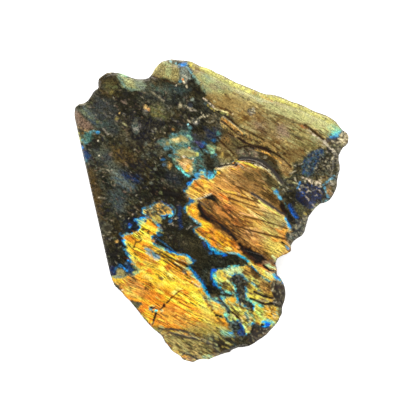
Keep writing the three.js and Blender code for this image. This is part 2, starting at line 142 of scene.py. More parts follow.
def apply_modifier(name, kind, **settings):
    # adds one modifier to the slab and makes it part of the mesh
    modifier = slab.modifiers.new(name, kind)
    for setting, value in settings.items():
        setattr(modifier, setting, value)
    bpy.ops.object.modifier_apply(modifier=modifier.name)


def read_vertices(what):
    # the places or normals of all the slab's vertices, one row each
    values = np.empty(len(slab.data.vertices) * 3)
    slab.data.vertices.foreach_get(what, values)
    return values.reshape(-1, 3)


def write_places(places):
    # moves the slab's vertices
    slab.data.vertices.foreach_set("co", places.ravel())
    slab.data.update()


def weigh(name, weights):
    # gives each vertex its weight in a group, in tenths
    group = slab.vertex_groups.new(name=name)
    for level in range(1, 11):
        chosen = np.flatnonzero(np.round(weights * 10) == level)
        group.add(chosen.tolist(), level / 10, "REPLACE")


apply_modifier("fine_grain", "REMESH", mode="VOXEL", voxel_size=VOXEL)
places = read_vertices("co")
back = places[:, 2] < BACK_BAND
places[back, 2] = 0
write_places(places)
for face in slab.data.polygons:
    face.select = all(back[corner] for corner in face.vertices)
bpy.ops.object.mode_set(mode="EDIT")
bpy.ops.mesh.select_mode(type="FACE")
bpy.ops.mesh.delete(type="FACE")
bpy.ops.mesh.select_all(action="SELECT")
bpy.ops.mesh.fill_holes(sides=0)
bpy.ops.mesh.quads_convert_to_tris(quad_method="BEAUTY", ngon_method="BEAUTY")
bpy.ops.object.mode_set(mode="OBJECT")


# ---------------------------------------------------------------------------------------
# Edges: above its widest line the side stands upright to a crisp arris, while the polish
# rubs the ledges within the face soft. Under the arris the sides break away in chips. The
# sawn left side and the back stay flat.
# ---------------------------------------------------------------------------------------

SAW_TOP = (-0.0685, 0.046)
SAW_FOOT = (-0.0506, -0.0325)
SAW_BAND = 0.0014
WIDEST_LINE = 0.0124
ARRIS_REACH = 0.0035
ARRIS_FOOT = 0.0178
ARRIS_PULL = 0.92  # how far a leaning side is drawn out over the widest line
NEARLY_FLAT = 0.96  # upward part of the normal, above which the face isn't a side
WALL_FALL = 0.72  # upward part of the normal, below which a face belongs to the wall
WALL_SHARE = 0.25  # share of the wall's faces that are kept
POLISH_PASSES = 30
CHIP_SIZE = 0.0052
CHIP_DEPTH = 0.0011
GRAIN_SIZE = 0.0011
GRAIN_DEPTH = 0.00022
MOSTLY_WALL = 0.6
FACE_LEVEL = 0.012

places = read_vertices("co")
upward = read_vertices("normal")[:, 2]
widest = np.flatnonzero((np.abs(places[:, 2] - WIDEST_LINE) < 0.0005) & (np.abs(upward) < 0.5))
outline_finder = KDTree(len(widest))
for number, vertex in enumerate(widest):
    outline_finder.insert((*places[vertex, :2], 0), number)
outline_finder.balance()
ledges = np.zeros(len(places))
for vertex in np.flatnonzero((places[:, 2] > WIDEST_LINE) & (upward < NEARLY_FLAT)):
    spot = places[vertex, :2].copy()
    nearest, number, gap = outline_finder.find((*spot, 0))
    if gap < ARRIS_REACH:
        pull = ARRIS_PULL * min((NEARLY_FLAT - upward[vertex]) / 0.2, 1)
        places[vertex, :2] += pull * (nearest.xy - Vector(spot))
    else:
        ledges[vertex] = 1
write_places(places)
saw_run = np.subtract(SAW_FOOT, SAW_TOP)
saw_run /= np.hypot(*saw_run)
from_saw = (places[:, :2] - SAW_TOP) @ (-saw_run[1], saw_run[0])
wall = np.clip((WALL_FALL - np.abs(upward)) / 0.2, 0, 1) * (places[:, 2] > BACK_BAND)
broken = wall * np.clip((np.abs(from_saw) - SAW_BAND) / 0.001, 0, 1)
broken *= np.clip((ARRIS_FOOT - places[:, 2]) / 0.003, 0.12, 1)
weigh("broken", broken)
weigh("wall", (wall > MOSTLY_WALL).astype(float))
polish = np.maximum(np.clip((upward - 0.93) / 0.04, 0, 1), ledges)
weigh("polish", polish * (places[:, 2] > FACE_LEVEL))

apply_modifier(
    "hand_polish", "SMOOTH", vertex_group="polish", factor=0.5, iterations=POLISH_PASSES,
    use_x=False, use_y=False,
)
chips = bpy.data.textures.new("chips", "VORONOI")
chips.noise_scale = CHIP_SIZE
apply_modifier(
    "chips", "DISPLACE", texture=chips, texture_coords="LOCAL", vertex_group="broken",
    mid_level=0, strength=-CHIP_DEPTH,
)
crystal_grain = bpy.data.textures.new("crystal_grain", "CLOUDS")
crystal_grain.noise_scale = GRAIN_SIZE
apply_modifier(
    "crystal_grain", "DISPLACE", texture=crystal_grain, texture_coords="LOCAL",
    vertex_group="broken", mid_level=0, strength=-GRAIN_DEPTH,
)
wall_faces = np.sum(wall > MOSTLY_WALL) * 2
kept_faces = 1 - (1 - WALL_SHARE) * wall_faces / len(slab.data.polygons)
apply_modifier(
    "thin_wall", "DECIMATE", ratio=kept_faces, vertex_group="wall", vertex_group_factor=10
)

# ---------------------------------------------------------------------------------------
# Paint: the stone's colours are laid on its vertices like glazes, in millimetres on the
# slab. Each brush has its own use: a flash for a field that mirrors light from its fine
# layers, with blue at its rim; a blot for a cloud or a patch of painted shadow; a stripe for
# a vein, a crack, or the painted highlight and shade along a ledge; a dab for one crystal or
# pit, or a small painted glint.
# ---------------------------------------------------------------------------------------

# The colours are in sRGB, from 0 to 255.
SOOT, COAL, INK, PITCH = (18, 14, 8), (28, 28, 24), (26, 27, 36), (30, 18, 8)
TAR, LOAM, PEAT, COCOA = (40, 28, 14), (34, 30, 22), (44, 40, 27), (52, 34, 16)
SHALE, DUSK, GRAPHITE, IRON = (38, 44, 52), (58, 64, 58), (58, 54, 42), (64, 66, 70)
BARK, WALNUT, OAK, MUD = (66, 50, 28), (62, 40, 20), (84, 50, 24), (80, 64, 34)
ROCK, CHESTNUT, UMBER, BRICK = (78, 72, 52), (88, 58, 26), (98, 66, 30), (104, 60, 26)
LEATHER, DRAB, MOSS, WILLOW = (98, 78, 44), (96, 86, 52), (96, 100, 62), (96, 100, 84)
COPPER, NUT, CAMEL, OLIVE = (120, 74, 30), (116, 90, 48), (128, 98, 54), (124, 112, 62)
PEWTER, ASH, FOG, RUST = (120, 116, 94), (124, 120, 102), (130, 140, 124), (150, 88, 38)
BRONZE, TAN, OCHRE, REED = (168, 92, 24), (150, 112, 62), (138, 116, 70), (146, 134, 82)
KHAKI, STONE, CARAMEL, CLAY = (155, 143, 90), (150, 140, 108), (176, 130, 66), (190, 138, 74)
SAND, HAY, DUNE, PUTTY = (168, 138, 90), (176, 148, 76), (178, 166, 108), (168, 158, 136)
RUSSET, COPAL, APRICOT, HONEY = (204, 112, 42), (206, 136, 64), (226, 150, 60), (217, 163, 84)
FAWN, WHEAT, ORANGE, AMBER = (206, 172, 104), (236, 176, 74), (236, 138, 45), (242, 166, 50)
MARIGOLD, GOLD, SUN, YELLOW = (250, 190, 44), (243, 192, 58), (250, 206, 82), (248, 222, 62)
CITRON, CORN, BUTTER, LEMON = (246, 232, 84), (228, 208, 100), (236, 208, 136), (245, 238, 122)
PRIMROSE, CREAM, IVORY, SHELL = (242, 228, 152), (238, 222, 176), (226, 214, 182), (214, 200, 170)
BONE, CHALK, STRAW, FLAX = (206, 190, 150), (196, 186, 156), (188, 178, 106), (190, 186, 130)
PEAR, LIME, LEAF, PALE = (214, 204, 140), (216, 217, 114), (206, 206, 132), (218, 236, 160)
LICHEN, FERN, SAGE, JADE = (160, 170, 116), (176, 180, 118), (148, 162, 126), (130, 160, 140)
SEA, MINT, TEAL, POOL = (146, 204, 166), (142, 232, 192), (74, 126, 118), (70, 84, 76)
LAGOON, MIST, FOAM, CYAN = (84, 126, 132), (112, 170, 178), (120, 232, 228), (104, 226, 230)
SKY, AZURE, BLUE, MARINE = (40, 190, 242), (28, 162, 238), (28, 98, 208), (70, 150, 202)
PETROL, COBALT, DENIM, NAVY = (48, 96, 138), (44, 72, 150), (40, 62, 112), (28, 38, 74)
SLATE, VIOLET, IRIS, HAZE = (78, 98, 114), (96, 92, 152), (50, 142, 224), (96, 176, 212)
RAIN, ICE, GLACIER, PLUM = (134, 162, 176), (150, 238, 246), (170, 236, 240), (72, 66, 120)
PEACH, ROSEWOOD, TAUPE, BUFF = (236, 180, 120), (148, 122, 102), (128, 102, 82), (164, 136, 112)
EMBER, BRASS, CELERY, LINEN = (196, 104, 26), (200, 176, 80), (206, 236, 190), (226, 204, 172)
MALT, SIENNA, TEAK, SMOKE = (168, 132, 72), (132, 84, 40), (72, 50, 26), (112, 124, 112)

LAMP_GAIN = 1.43  # how much more light falls on the slab than white card gives back
POLISH_GLEAM = (0.015, 0.013, 0.01)  # light that the polish throws back whatever its colour
LATTICE = 512  # knots along each side of a drift
WIDEST_LEVEL = 12.6  # just over the widest line

places = read_vertices("co") * MILLIMETRES
upward = read_vertices("normal")[:, 2]
spots = places[:, :2].copy()
in_sight = (upward > 0) | (places[:, 2] > WIDEST_LEVEL)
count = len(spots)
hue = np.zeros((count, 3))
sheen = np.zeros(count)  # how much the fine layers show
raw = np.zeros(count)  # how rough the surface is left
sunk = np.zeros(count)  # how far it lies below the polish


def smooth(share):
    # an even share from 0 to 1, eased at both ends
    share = np.clip(share, 0, 1)
    return share * share * (3 - 2 * share)


def heading(lean):
    # the direction of an angle in degrees
    return np.array([math.cos(math.radians(lean)), math.sin(math.radians(lean))])


def drift(points, size, seed, lean=0.0, stretch=1.0):
    # random swells from -1 to 1, as wide as size and longer by stretch along the lean
    ahead = heading(lean)
    along = points @ ahead / (size * stretch)
    across = points @ np.array([-ahead[1], ahead[0]]) / size
    across += 0.5 * np.sin(0.9 * along + seed)
    along += 0.5 * np.sin(1.1 * across + seed)
    knots = np.random.default_rng(seed).uniform(-1, 1, (LATTICE, LATTICE))
    column = np.floor(along).astype(int)
    row = np.floor(across).astype(int)
    u = smooth(along - column)
    v = smooth(across - row)
    low = knots[row % LATTICE, column % LATTICE] * (1 - u)
    low += knots[row % LATTICE, (column + 1) % LATTICE] * u
    high = knots[(row + 1) % LATTICE, column % LATTICE] * (1 - u)
    high += knots[(row + 1) % LATTICE, (column + 1) % LATTICE] * u
    return low * (1 - v) + high * v


def pairs(numbers):
    # a row of numbers as points
    return np.reshape(np.array(numbers, dtype=float), (-1, 2))


def reach(points, line):
    # distance from each point to a bent line
    nearest = np.full(len(points), 1e9)
    for start, end in zip(line[:-1], line[1:]):
        run = end - start
        share = np.clip((points - start) @ run / max(run @ run, 1e-9), 0, 1)
        gap = points - start - share[:, None] * run
        nearest = np.minimum(nearest, np.einsum("ij,ij->i", gap, gap))
    return np.sqrt(nearest)


def depth_in(points, outline):
    # distance inside a closed outline, and minus the distance outside it
    closed = np.vstack([outline, outline[:1]])
    inside = np.zeros(len(points), dtype=bool)
    for (ax, ay), (bx, by) in zip(closed[:-1], closed[1:]):
        if ay != by:
            crossing = ax + (points[:, 1] - ay) * (bx - ax) / (by - ay)
            inside ^= ((ay > points[:, 1]) != (by > points[:, 1])) & (points[:, 0] < crossing)
    return np.where(inside, 1, -1) * reach(points, closed)


def around(line, margin):
    # the upper vertices near a line
    low = line.min(axis=0) - margin
    high = line.max(axis=0) + margin
    return np.flatnonzero(np.all((spots > low) & (spots < high), axis=1) & in_sight)


def shades(steps, colours, levels=None):
    # blends a row of colours, the first at a step of -1 and the last at 1 unless levels say
    if levels is None:
        levels = np.linspace(-1, 1, len(colours))
    return np.stack([np.interp(steps, levels, channel) for channel in zip(*colours)], axis=1)


def lay(at, colour, amount):
    # glazes the chosen vertices with a colour
    hue[at] += (colour - hue[at]) * np.clip(amount, 0, 1)[:, None]


def roughen(at, amount, rough, sink):
    # leaves the chosen vertices rougher and lower than the polish
    raw[at] = np.maximum(raw[at], rough * amount)
    sunk[at] += sink * amount


def stripe(colour, width, *line, strength=0.85, rough=0.0, sink=0.0, gaps=0.6):
    # a vein, a crack, or a painted highlight or shade along a ledge, on a bent line, fading
    # here and there by its gaps
    line = pairs(line)
    at = around(line, width + 1)
    points = spots[at]
    sway = 0.14 * drift(points, 1.3, 3)
    amount = strength * smooth(1.2 - (reach(points, line) + sway) / (0.5 * width + 0.22))
    amount *= smooth(1 - gaps * 0.4 + gaps * 1.4 * drift(points, 0.9, 9))
    lay(at, np.array(colour, dtype=float), amount)
    roughen(at, amount, rough, sink)


def dab(colour, x, y, across=0.6, along=None, lean=0.0, strength=0.85, rough=0.0, sink=0.0):
    # one crystal or pit, or a small painted glint
    ahead = heading(lean)
    at = around(pairs((x, y)), 1.3 * max(across, along or across) + 0.6)
    gap = spots[at] - (x, y)
    radius = np.hypot(gap @ ahead / across, gap @ (-ahead[1], ahead[0]) / (along or across))
    radius += 0.4 * drift(spots[at], 0.9, 5)
    amount = strength * smooth(1.15 * (1.42 - radius))
    lay(at, np.array(colour, dtype=float), amount)
    roughen(at, amount, rough, sink)


def blot(
    colours, soft, *outline, strength=0.85, lean=-28.0, grain=1.0, stretch=4.0, rough=0.0, glow=0.0
):
    # colours is one colour, or several that stream through the cloud along the lean
    outline = pairs(outline)
    at = around(outline, soft + 1)
    points = spots[at]
    sway = heading(lean) * (0.5 * soft + 0.2)
    ragged = points + drift(points, 1.4, 11, lean, 3)[:, None] * sway
    depth = depth_in(ragged, outline) + 0.6 * min(soft, 1.5) * drift(points, 0.9, 13)
    amount = strength * smooth(0.5 + depth / (2 * max(soft, 0.25)))
    if isinstance(colours[0], tuple):
        stream = 1.1 * drift(points, grain, 17, lean, stretch) + 0.7 * drift(points, 3.1, 19)
        stream += 0.6 * drift(points, 0.7, 21, lean, 2)
        tints = shades(stream, colours)
    else:
        tints = np.array(colours, dtype=float)
    lay(at, tints, amount)
    roughen(at, amount, rough, 0.0)
    sheen[at] = np.maximum(sheen[at], glow * amount)


def strew(
    colours, ticks, seed, *outline, long=1.2, width=0.3, lean=-35.0, spread=60.0, strength=0.8,
    rough=0.2
):
    # short ticks of crystal inside an outline, lying within a spread of one lean
    chance = np.random.default_rng(seed)
    outline = pairs(outline)
    thrown = chance.uniform(outline.min(axis=0), outline.max(axis=0), (4 * ticks, 2))
    for middle in thrown[depth_in(thrown, outline) > 0][:ticks]:
        half = heading(lean + chance.uniform(-spread, spread)) * long * chance.uniform(0.15, 0.6)
        colour = colours[chance.integers(len(colours))]
        ends = (*(middle - half), *(middle + half))
        stripe(colour, width, *ends, strength=strength, rough=rough, gaps=0.3)


RIM_LEVELS = (-0.45, 0.0, 0.22, 0.42, 0.62, 0.82)
RIM_COLOURS = (NAVY, COBALT, (16, 140, 232), AZURE, CYAN, PALE)
WARM_TO_LIME = (
    (1.06, 0.9, 0.98), (1.02, 0.97, 1.0), (1, 1, 1), (0.99, 1.01, 1.02), (0.94, 1.03, 1.0)
)
QUIET_RIM = (DUSK, (46, 76, 96), (62, 112, 124), (98, 152, 138), (140, 184, 142), STRAW)


def flash(
    hearts, outline, cuts=(), bare=(), rim=1.7, lean=-28.0, fray=0.8, strength=1.0, grain=1.0
):
    # the rim runs from navy through azure and cyan to the heart's own colours; none shows
    # along the bare line
    outline = pairs(outline)
    at = around(outline, 2.5)
    points = spots[at]
    sway = fray * (0.9 * drift(points, 0.9, 23, lean, 5) + 0.6 * drift(points, 2.2, 29, lean, 3))
    ragged = points + sway[:, None] * heading(lean)
    depth = depth_in(ragged, outline)
    for cut in cuts:
        depth = np.minimum(depth, -depth_in(ragged, pairs(cut)))
    depth += 0.35 * drift(points, 0.7, 33)
    width = rim * (1 + 0.6 * drift(points, 3.6, 31) + 0.4 * drift(points, 1.2, 35, lean, 3))
    share = depth / np.maximum(width, 0.3)
    if bare:
        share += 1.3 * smooth(1.4 - reach(points, pairs(bare)) / 3) * smooth(depth + 1)
    rims = shades(share, RIM_COLOURS, RIM_LEVELS)
    quiet = shades(share, QUIET_RIM, RIM_LEVELS)
    rims += (quiet - rims) * smooth(0.45 + 1.1 * drift(points, 4.4, 45))[:, None]
    stream = 0.85 * drift(points, 0.8 * grain, 37, lean, 11)
    stream += 0.7 * drift(points, 1.7 * grain, 39, lean - 7, 6)
    stream += 0.9 * drift(points, 4.5, 41, lean, 1.6)
    hearts = shades(stream, hearts)
    hairs = smooth(1.2 - np.abs(drift(points, 1.6, 47, lean - 6, 14)) / 0.11)
    hairs *= smooth(0.55 + 1.3 * drift(points, 3.2, 49, lean, 3))
    hearts *= 1 - 0.5 * hairs[:, None]
    hearts *= shades(1.3 * drift(points, 4.2, 51, lean, 2), WARM_TO_LIME)
    middle = smooth((share - 0.7) / 0.45)[:, None]
    amount = strength * smooth((depth + 0.9) / 1.1)
    lay(at, rims * (1 - middle) + hearts * middle, amount)
    sheen[at] = np.maximum(sheen[at] * (1 - amount), amount * smooth(depth / 1.2))


# Rock: olive-black feldspar, mottled at every scale, which is all that shows where the
# light meets no layers. Veils of slate and teal hang in its upper half.
ROCK_SHADES = ((18, 17, 12), (36, 34, 24), (54, 52, 38), (76, 72, 54), (112, 106, 84))
speckle = 0.62 * drift(spots, 0.48, 2, -40, 2.4) + 0.3 * drift(spots, 1.1, 4, -35, 2.5)
speckle += 0.4 * drift(spots, 4.5, 6, -30, 1.6)
speckle += 0.28 * drift(spots, 11, 8) + 0.04
hue[:] = shades(speckle, ROCK_SHADES)
TINGES = ((0.9, 0.99, 1.1), (0.97, 1.0, 1.02), (1.0, 1.0, 0.98), (1.03, 0.99, 0.93), (1.08, 1.0, 0.88))
hue *= shades(1.1 * drift(spots, 5, 10) + 0.7 * drift(spots, 0.9, 16), TINGES)

for tints, soft, *outline in (
    ((GRAPHITE, DUSK, WILLOW), 4, -57, 57, -50, 57, -46, 50, -48, 42, -56, 41, -60, 46),
    ((SLATE, SMOKE, SAGE), 1.5, -67, 50, -64, 52, -61, 51, -58, 48, -57, 41, -60, 42),
    ((TEAL, WILLOW, POOL), 2.5, -30, 61, -20, 62, -12, 60, -13, 58, -27, 58, -31, 60),
):
    blot(tints, soft, *outline, strength=0.7)
blot((DUSK, SHALE, SLATE), 2, -22, 61, -15, 61, -11, 60, -12, 58, -20, 58, strength=0.6)
blot((SHALE, DUSK, SHALE), 3, -33, 58, -14, 56, -13, 52, -22, 52, -33, 54, strength=0.5)
for tints, soft, *outline in (
    ((OLIVE, MOSS, REED), 2, -31, 53, -25, 53, -24, 47, -30, 46),
    ((DUSK, POOL, DUSK), 2.5, -58, 29, -51, 30, -46, 20, -43, 17, -44, 14, -48, 15),
):
    blot(tints, soft, *outline, strength=0.6)
blot((INK, SHALE, GRAPHITE), 2.5, -20, 44, -14, 45, -9, 41, -11, 37, -22, 41, strength=0.5)
for tints, soft, *outline in (
    ((DUSK, POOL, SLATE), 2, -49, 17, -37, 10, -38, 8, -48, 13),
    ((PEAT, PEAT, GRAPHITE), 3, -33, 4, -20, 6, -13, 4, -14, -6, -10, -14, -2, -20, -6, -34, -12, -24,
    -30, -6), ((COBALT, DENIM, NAVY), 0.9, -17, 3, -15.5, 3, -15, -9, -17, -9),
):
    blot(tints, soft, *outline, strength=0.7)
blot((DUSK, IRON, SLATE), 2.5, -50, 10, -45, 9, -43, 5, -44, -2, -49, -1, -51, 5, strength=0.5)
blot((UMBER, ROCK, TEAK), 1.5, -63, 22, -60, 20, -53, -6, -58, -6, -62, 10, strength=0.6)
blot((BARK, PEAT, MUD), 2, -50, -2, -44, -4, -44, -14, -50, -20, -53, -12, strength=0.4)
blot((SHALE, SHALE, INK), 1.5, -45, -5, -39, -4, -37, -8, -38, -12, -41, -12, -45, -10)
blot((INK, COAL, PEAT), 2, -50, -24, -46, -24, -45, -27, -50, -29, strength=0.7)

ROCK_FIELD = (
    -66, 44, -60, 56, -50, 62, -40, 58, -30, 60, -16, 60, -6, 54, -8, 44, -20, 40, -24, 28, -18, 16,
    -16, 4, -18, -6, -14, -14, -10, -22, -20, -18, -26, -10, -28, 2, -38, -2, -44, -10, -46, -24, -50,
    -30, -56, -8, -62, 20
)
strew((WILLOW, PEWTER, STONE, WILLOW), 260, 61, *ROCK_FIELD, long=1.5, width=0.3)
strew((SOOT, PITCH, INK), 240, 62, *ROCK_FIELD, long=2.2, width=0.7)
strew((PUTTY, CHALK, STONE), 46, 63, *ROCK_FIELD, long=0.7, width=0.22, strength=0.8)

# Soft veils drift over it: teal and slate across the middle, umber down the sawn side,
# blue-grey behind the bites at the upper left, and ink round a raw grey scar.
for tints, soft, *outline in (
    ((IRON, WILLOW, WILLOW), 2.4, -61, 30, -56, 31, -50, 29, -48, 24, -45, 20, -45, 16, -50, 18, -58, 26),
    ((SLATE, SMOKE, ASH), 1.8, -50, 20, -46, 19, -38, 12, -39, 10, -44, 11, -48, 13, -51, 16),
    ((INK, NAVY, DENIM), 1.6, -46, 19, -37, 18, -34, 15, -36, 13, -40, 14, -44, 16),
    ((IRON, POOL, IRON), 2.4, -50, 12, -46, 12, -43, 9, -42, 4, -44, 0, -48, 0, -51, 5),
    ((PITCH, LOAM, COAL), 2.4, -31, 12, -22, 12, -14, 10, -13, 4, -20, 5, -26, 7, -33, 5),
    ((DUSK, IRON, SHALE), 2.2, -23, 20, -17, 18, -15, 14, -17, 11, -22, 13),
    ((MUD, LEATHER, BARK), 1.8, -62, 21, -58, 20, -56, 12, -55, 4, -56, -4, -59, -2, -62, 12),
    ((LEATHER, MUD, NUT), 2.6, -50, 32, -44, 32, -38, 28, -35, 24, -40, 21, -47, 23, -50, 27),
    ((ROCK, ROCK), 2.4, -46, 38, -40, 36, -34, 33, -38, 30, -46, 32),
    ((GRAPHITE, MUD, PEAT), 1.4, -58, 66, -54, 69, -48, 69, -46, 60, -44, 56, -50, 55, -55, 57, -58, 61),
    ((MOSS, DRAB), 1.8, -53, 64, -49, 64, -47, 60, -50, 58, -53, 60),
    ((DUSK, IRON, GRAPHITE), 2.8, -59, 56, -52, 55, -47, 50, -46, 44, -52, 43, -58, 46, -61, 51),
    ((POOL, IRON, POOL), 2.2, -57, 45, -51, 44, -46, 40, -49, 37, -57, 41),
    ((PEAT, PEAT, LOAM), 2.6, -47, 59, -38, 58, -36, 51, -44, 49, -48, 53),
    ((OLIVE, MOSS, ASH), 1.8, -31, 51, -25, 51, -22, 46, -25, 44, -30, 45),
):
    blot(tints, soft, *outline, strength=0.7, stretch=3)
strew(
    (ROSEWOOD, TAUPE, MOSS), 260, 108, *ROCK_FIELD, long=1.4, width=0.26, lean=-36, spread=40,
    strength=0.6
)
strew((SOOT, SOOT, COAL), 260, 109, *ROCK_FIELD, long=1.6, width=0.34, lean=-40, spread=40, strength=0.7)
strew(
    (STONE, TAUPE, PUTTY), 70, 91, -62, 52, -50, 58, -20, 56, -16, 46, -30, 34, -50, 34, long=1.6,
    width=0.25, lean=-32, spread=20, strength=0.6
)
strew(
    (SOOT, PITCH, INK), 80, 92, -50, 34, -36, 34, -28, 26, -30, 14, -44, 20, long=2.4, width=0.4,
    lean=-48, spread=14, strength=0.75
)

# Rose-brown and lime streaks that come out at the sawn edge.
blot(
    (ROSEWOOD, TAUPE, BUFF), 1, -69, 50, -66.5, 49, -63.5, 45.5, -60, 42.5, -59.5, 40.5, -62, 39.5, -66,
    40.5, -68.5, 45, lean=-45
)
stripe(SAND, 1.1, -67.3, 41.2, -61, 38.7)
stripe(LIME, 1.2, -66.6, 38.3, -65.3, 33.8, strength=1)
blot((SAGE, TEAL, TEAL), 1.3, -64.5, 38.5, -61, 38.5, -59.5, 36, -62, 33, -64.5, 33)
stripe(MIST, 1.3, -64.8, 34.6, -62.5, 33)
stripe(MIST, 1.5, -60.5, 38.5, -58.5, 39, -56, 38.5, strength=1)
for shade, x, y, *size in (
    (MARINE, -57, 38.5, 1.1, 0.7), (IRIS, -64.5, 31, 0.8, 1.1),
):
    dab(shade, x, y, *size, strength=1)
blot((NAVY, DENIM, PETROL), 0.8, -65, 30.5, -63, 30, -60, 27, -62, 23.5, -63.5, 24)
for shade, x, y, *size in (
    (LAGOON, -62.5, 24.5, 0.7, 0.9), (NUT, -64.2, 38.2, 0.8, 0.6),
):
    dab(shade, x, y, *size, strength=1)
dab(POOL, -52.5, 42.5, 2, 1.2, strength=0.7)

# Upper left: shell-shaped bites with a thin pale arris, and a soft lime glow behind them.
for shade, width, *line in (
    (SHELL, 2.2, -58, 65, -53.5, 68.5, -46.5, 69), (BONE, 1.7, -46.5, 69, -38, 65.5, -32, 66, -30, 68),
    (CHALK, 2.2, -69, 51.5, -67, 53, -64.5, 53, -63, 54),
):
    stripe(shade, width, *line, rough=1)
blot((JADE, FERN, FERN), 1.5, -47, 68, -43, 68, -39, 65, -38, 60, -41, 60, -44, 61, -45, 64, -47, 66)
stripe(JADE, 1.3, -47, 67.5, -44.7, 63, -43, 61, -40.3, 59.8, -37.5, 59.5)
stripe(SEA, 1.2, -46, 67.4, -42, 66.4, strength=1)
for shade, x, y, *size in (
    (CELERY, -44, 67, 1.7, 0.6), (OLIVE, -50, 58.5, 1.4, 0.9), (MOSS, -48, 61, 1.3, 0.8),
):
    dab(shade, x, y, *size, strength=1)
for tints, soft, *outline in (
    ((FERN, FLAX, KHAKI), 1, -43.5, 65, -39, 64.5, -37.5, 62, -42, 62),
    ((FOG, SAGE, PEWTER), 1.2, -38.5, 64.5, -34, 65, -32.5, 62, -34, 59.5, -38, 60),
):
    blot(tints, soft, *outline)

# Head of the slab: an olive lobe, a blue eye beside it and a raw pale rim over both.
blot(
    (REED, KHAKI, DUNE, LICHEN), 0.9, -30, 67.5, -29, 66.5, -24, 65.5, -18, 63.5, -17, 64, -16, 67, -17,
    70, -18, 71.5, -20.5, 73.5, -23, 74.5, -25.5, 74.5, -27.5, 72, -30, 70, stretch=2, strength=1
)
dab(LICHEN, -23, 73, 2.2, 0.9, -25, strength=1)
dab(LICHEN, -22, 69, 1.6, 2, strength=0.7)
stripe(OCHRE, 1, -28.5, 67, -17.6, 64.3, strength=0.7)
stripe(PRIMROSE, 2.4, -29.5, 69, -27, 73, -25, 74.5, strength=1, rough=0.8)
stripe(IVORY, 3.2, -24.5, 75, -20.5, 75.5, -15.5, 75, -8, 73, rough=1)
stripe(GLACIER, 1, -21, 73.9, -16.6, 71.9, strength=1)
dab(IRIS, -14.5, 72, 2.2, 0.95, 8, strength=1)
stripe(MIST, 1.3, -12.6, 71, -11.2, 69.5, -9.1, 66)
blot((CORN, CITRON, LEMON), 0.6, -12, 73.5, -9, 73, -7, 72, -7, 69.5, -8.5, 68.5, -11.5, 71.5, strength=1)
blot((SMOKE, FOG, WILLOW), 0.8, -16, 71, -12.5, 70.5, -10, 65, -13, 64, -16, 65, rough=0.5, strength=1)
stripe(CHALK, 0.7, -14.8, 67, -13.4, 66.4, -12.2, 65.4, -13, 64.6, strength=0.7)
stripe(CREAM, 0.8, -15, 65.2, -14.2, 64, -13.8, 62.8, -12.4, 60.8, rough=0.5, strength=1)
for shade, x, y, *size in (
    (EMBER, -14.5, 64.8, 0.5), (LAGOON, -16, 64, 0.9, 0.8),
):
    dab(shade, x, y, *size, strength=1)
stripe(STONE, 0.8, -21.2, 64, -16, 62.4, strength=0.7)
stripe(WALNUT, 0.9, -29.4, 66, -24, 64.8, -18, 62.6, strength=0.7, sink=0.15)

# Shoulder: a broad olive sheen that streams down from the head to the right corner.
SHOULDER_SHADES = ((122, 98, 54), (146, 126, 74), (164, 150, 98), (182, 170, 112), (196, 172, 104))
blot(
    SHOULDER_SHADES, 1.2, -9.5, 67.5, -7.5, 64, -5.5, 62.5, -3.5, 60, -2.5, 58, -3.5, 55.5, 2, 50.5,
    7.5, 48.5, 12.5, 41, 15.5, 38.5, 25, 34.5, 31.5, 29.5, 30, 27.5, 34.5, 17.5, 36.5, 16, 39, 16.5,
    40.5, 19.5, 40.5, 22.5, 42, 24.5, 45, 24, 47, 27, 50, 29.5, 57, 31, 60, 33, 63, 36, 63.5, 40, 70,
    42, 60, 60, -4, 80, -10, 72, glow=0.42, grain=1.6, strength=1
)
blot(
    (SAGE, FERN, STRAW, STRAW), 2, -8, 68, 0, 68, 12, 61, 9, 57, 2, 57, -3, 59, -6, 63, grain=1.2,
    strength=1
)
stripe(JADE, 1.8, -9, 66.5, -7.5, 64, -5.5, 62.5, -2.5, 58)
blot(
    (LICHEN, FLAX, LEAF, LEAF), 2, 12, 61, 46, 48, 52, 44, 58, 42, 61, 39, 58, 37, 53, 38, 48, 43, 40,
    45, 33, 48, 26, 50, 12, 57, grain=1.2
)
blot((REED, KHAKI, HAY), 2.5, 0, 57, 8, 57, 14, 54, 13, 50, 2, 52, strength=0.7)
dab(ROCK, 18, 55, 0.9, 0.6, strength=1)

# Its outer edge: lemon where the polish rounds down, then raw cream crystal.
stripe(LIME, 3.2, -5, 71, 12, 62, 29, 55.5, 32, 55, 44, 51, 59.5, 43)
stripe(LEMON, 1.6, -5, 71, 12, 62, 29, 55.5, 32, 55, 44, 51, 59.5, 43, strength=1)
for shade, width, *line in (
    (COPAL, 0.8, 20, 58.6, 30, 53.8), (CAMEL, 0.8, 8, 59, 13, 57),
):
    stripe(shade, width, *line, strength=0.7)
stripe(NUT, 0.7, 14, 57.4, 18, 55.9, strength=0.5)
dab(CREAM, 10, 47.6, 0.5, strength=1)
blot(
    (SAGE, LICHEN, STONE), 2.2, -7, 66, -2, 67, 6, 64, 9, 60, 6, 58, 0, 58, -4, 60, strength=0.7,
    grain=1.4
)
for tints, soft, *outline in (
    ((TAN, MALT, CAMEL), 2.4, -1, 57, 8, 58, 16, 56, 24, 52, 24, 46, 16, 45, 2, 52),
    ((DUNE, FERN, KHAKI), 2.4, 22, 56, 42, 50, 44, 45, 34, 47, 26, 51),
):
    blot(tints, soft, *outline, strength=0.6, grain=1.4)
for tints, soft, *outline in (
    ((FLAX, PEAR, FERN, LEAF), 2, 43, 51, 57, 45, 61, 42, 59, 39, 53, 40, 47, 43),
    ((OLIVE, REED, MOSS), 2.2, 36, 43, 44, 41, 55, 33, 53, 30, 46, 30, 36, 37),
):
    blot(tints, soft, *outline, strength=0.7, grain=1.4)
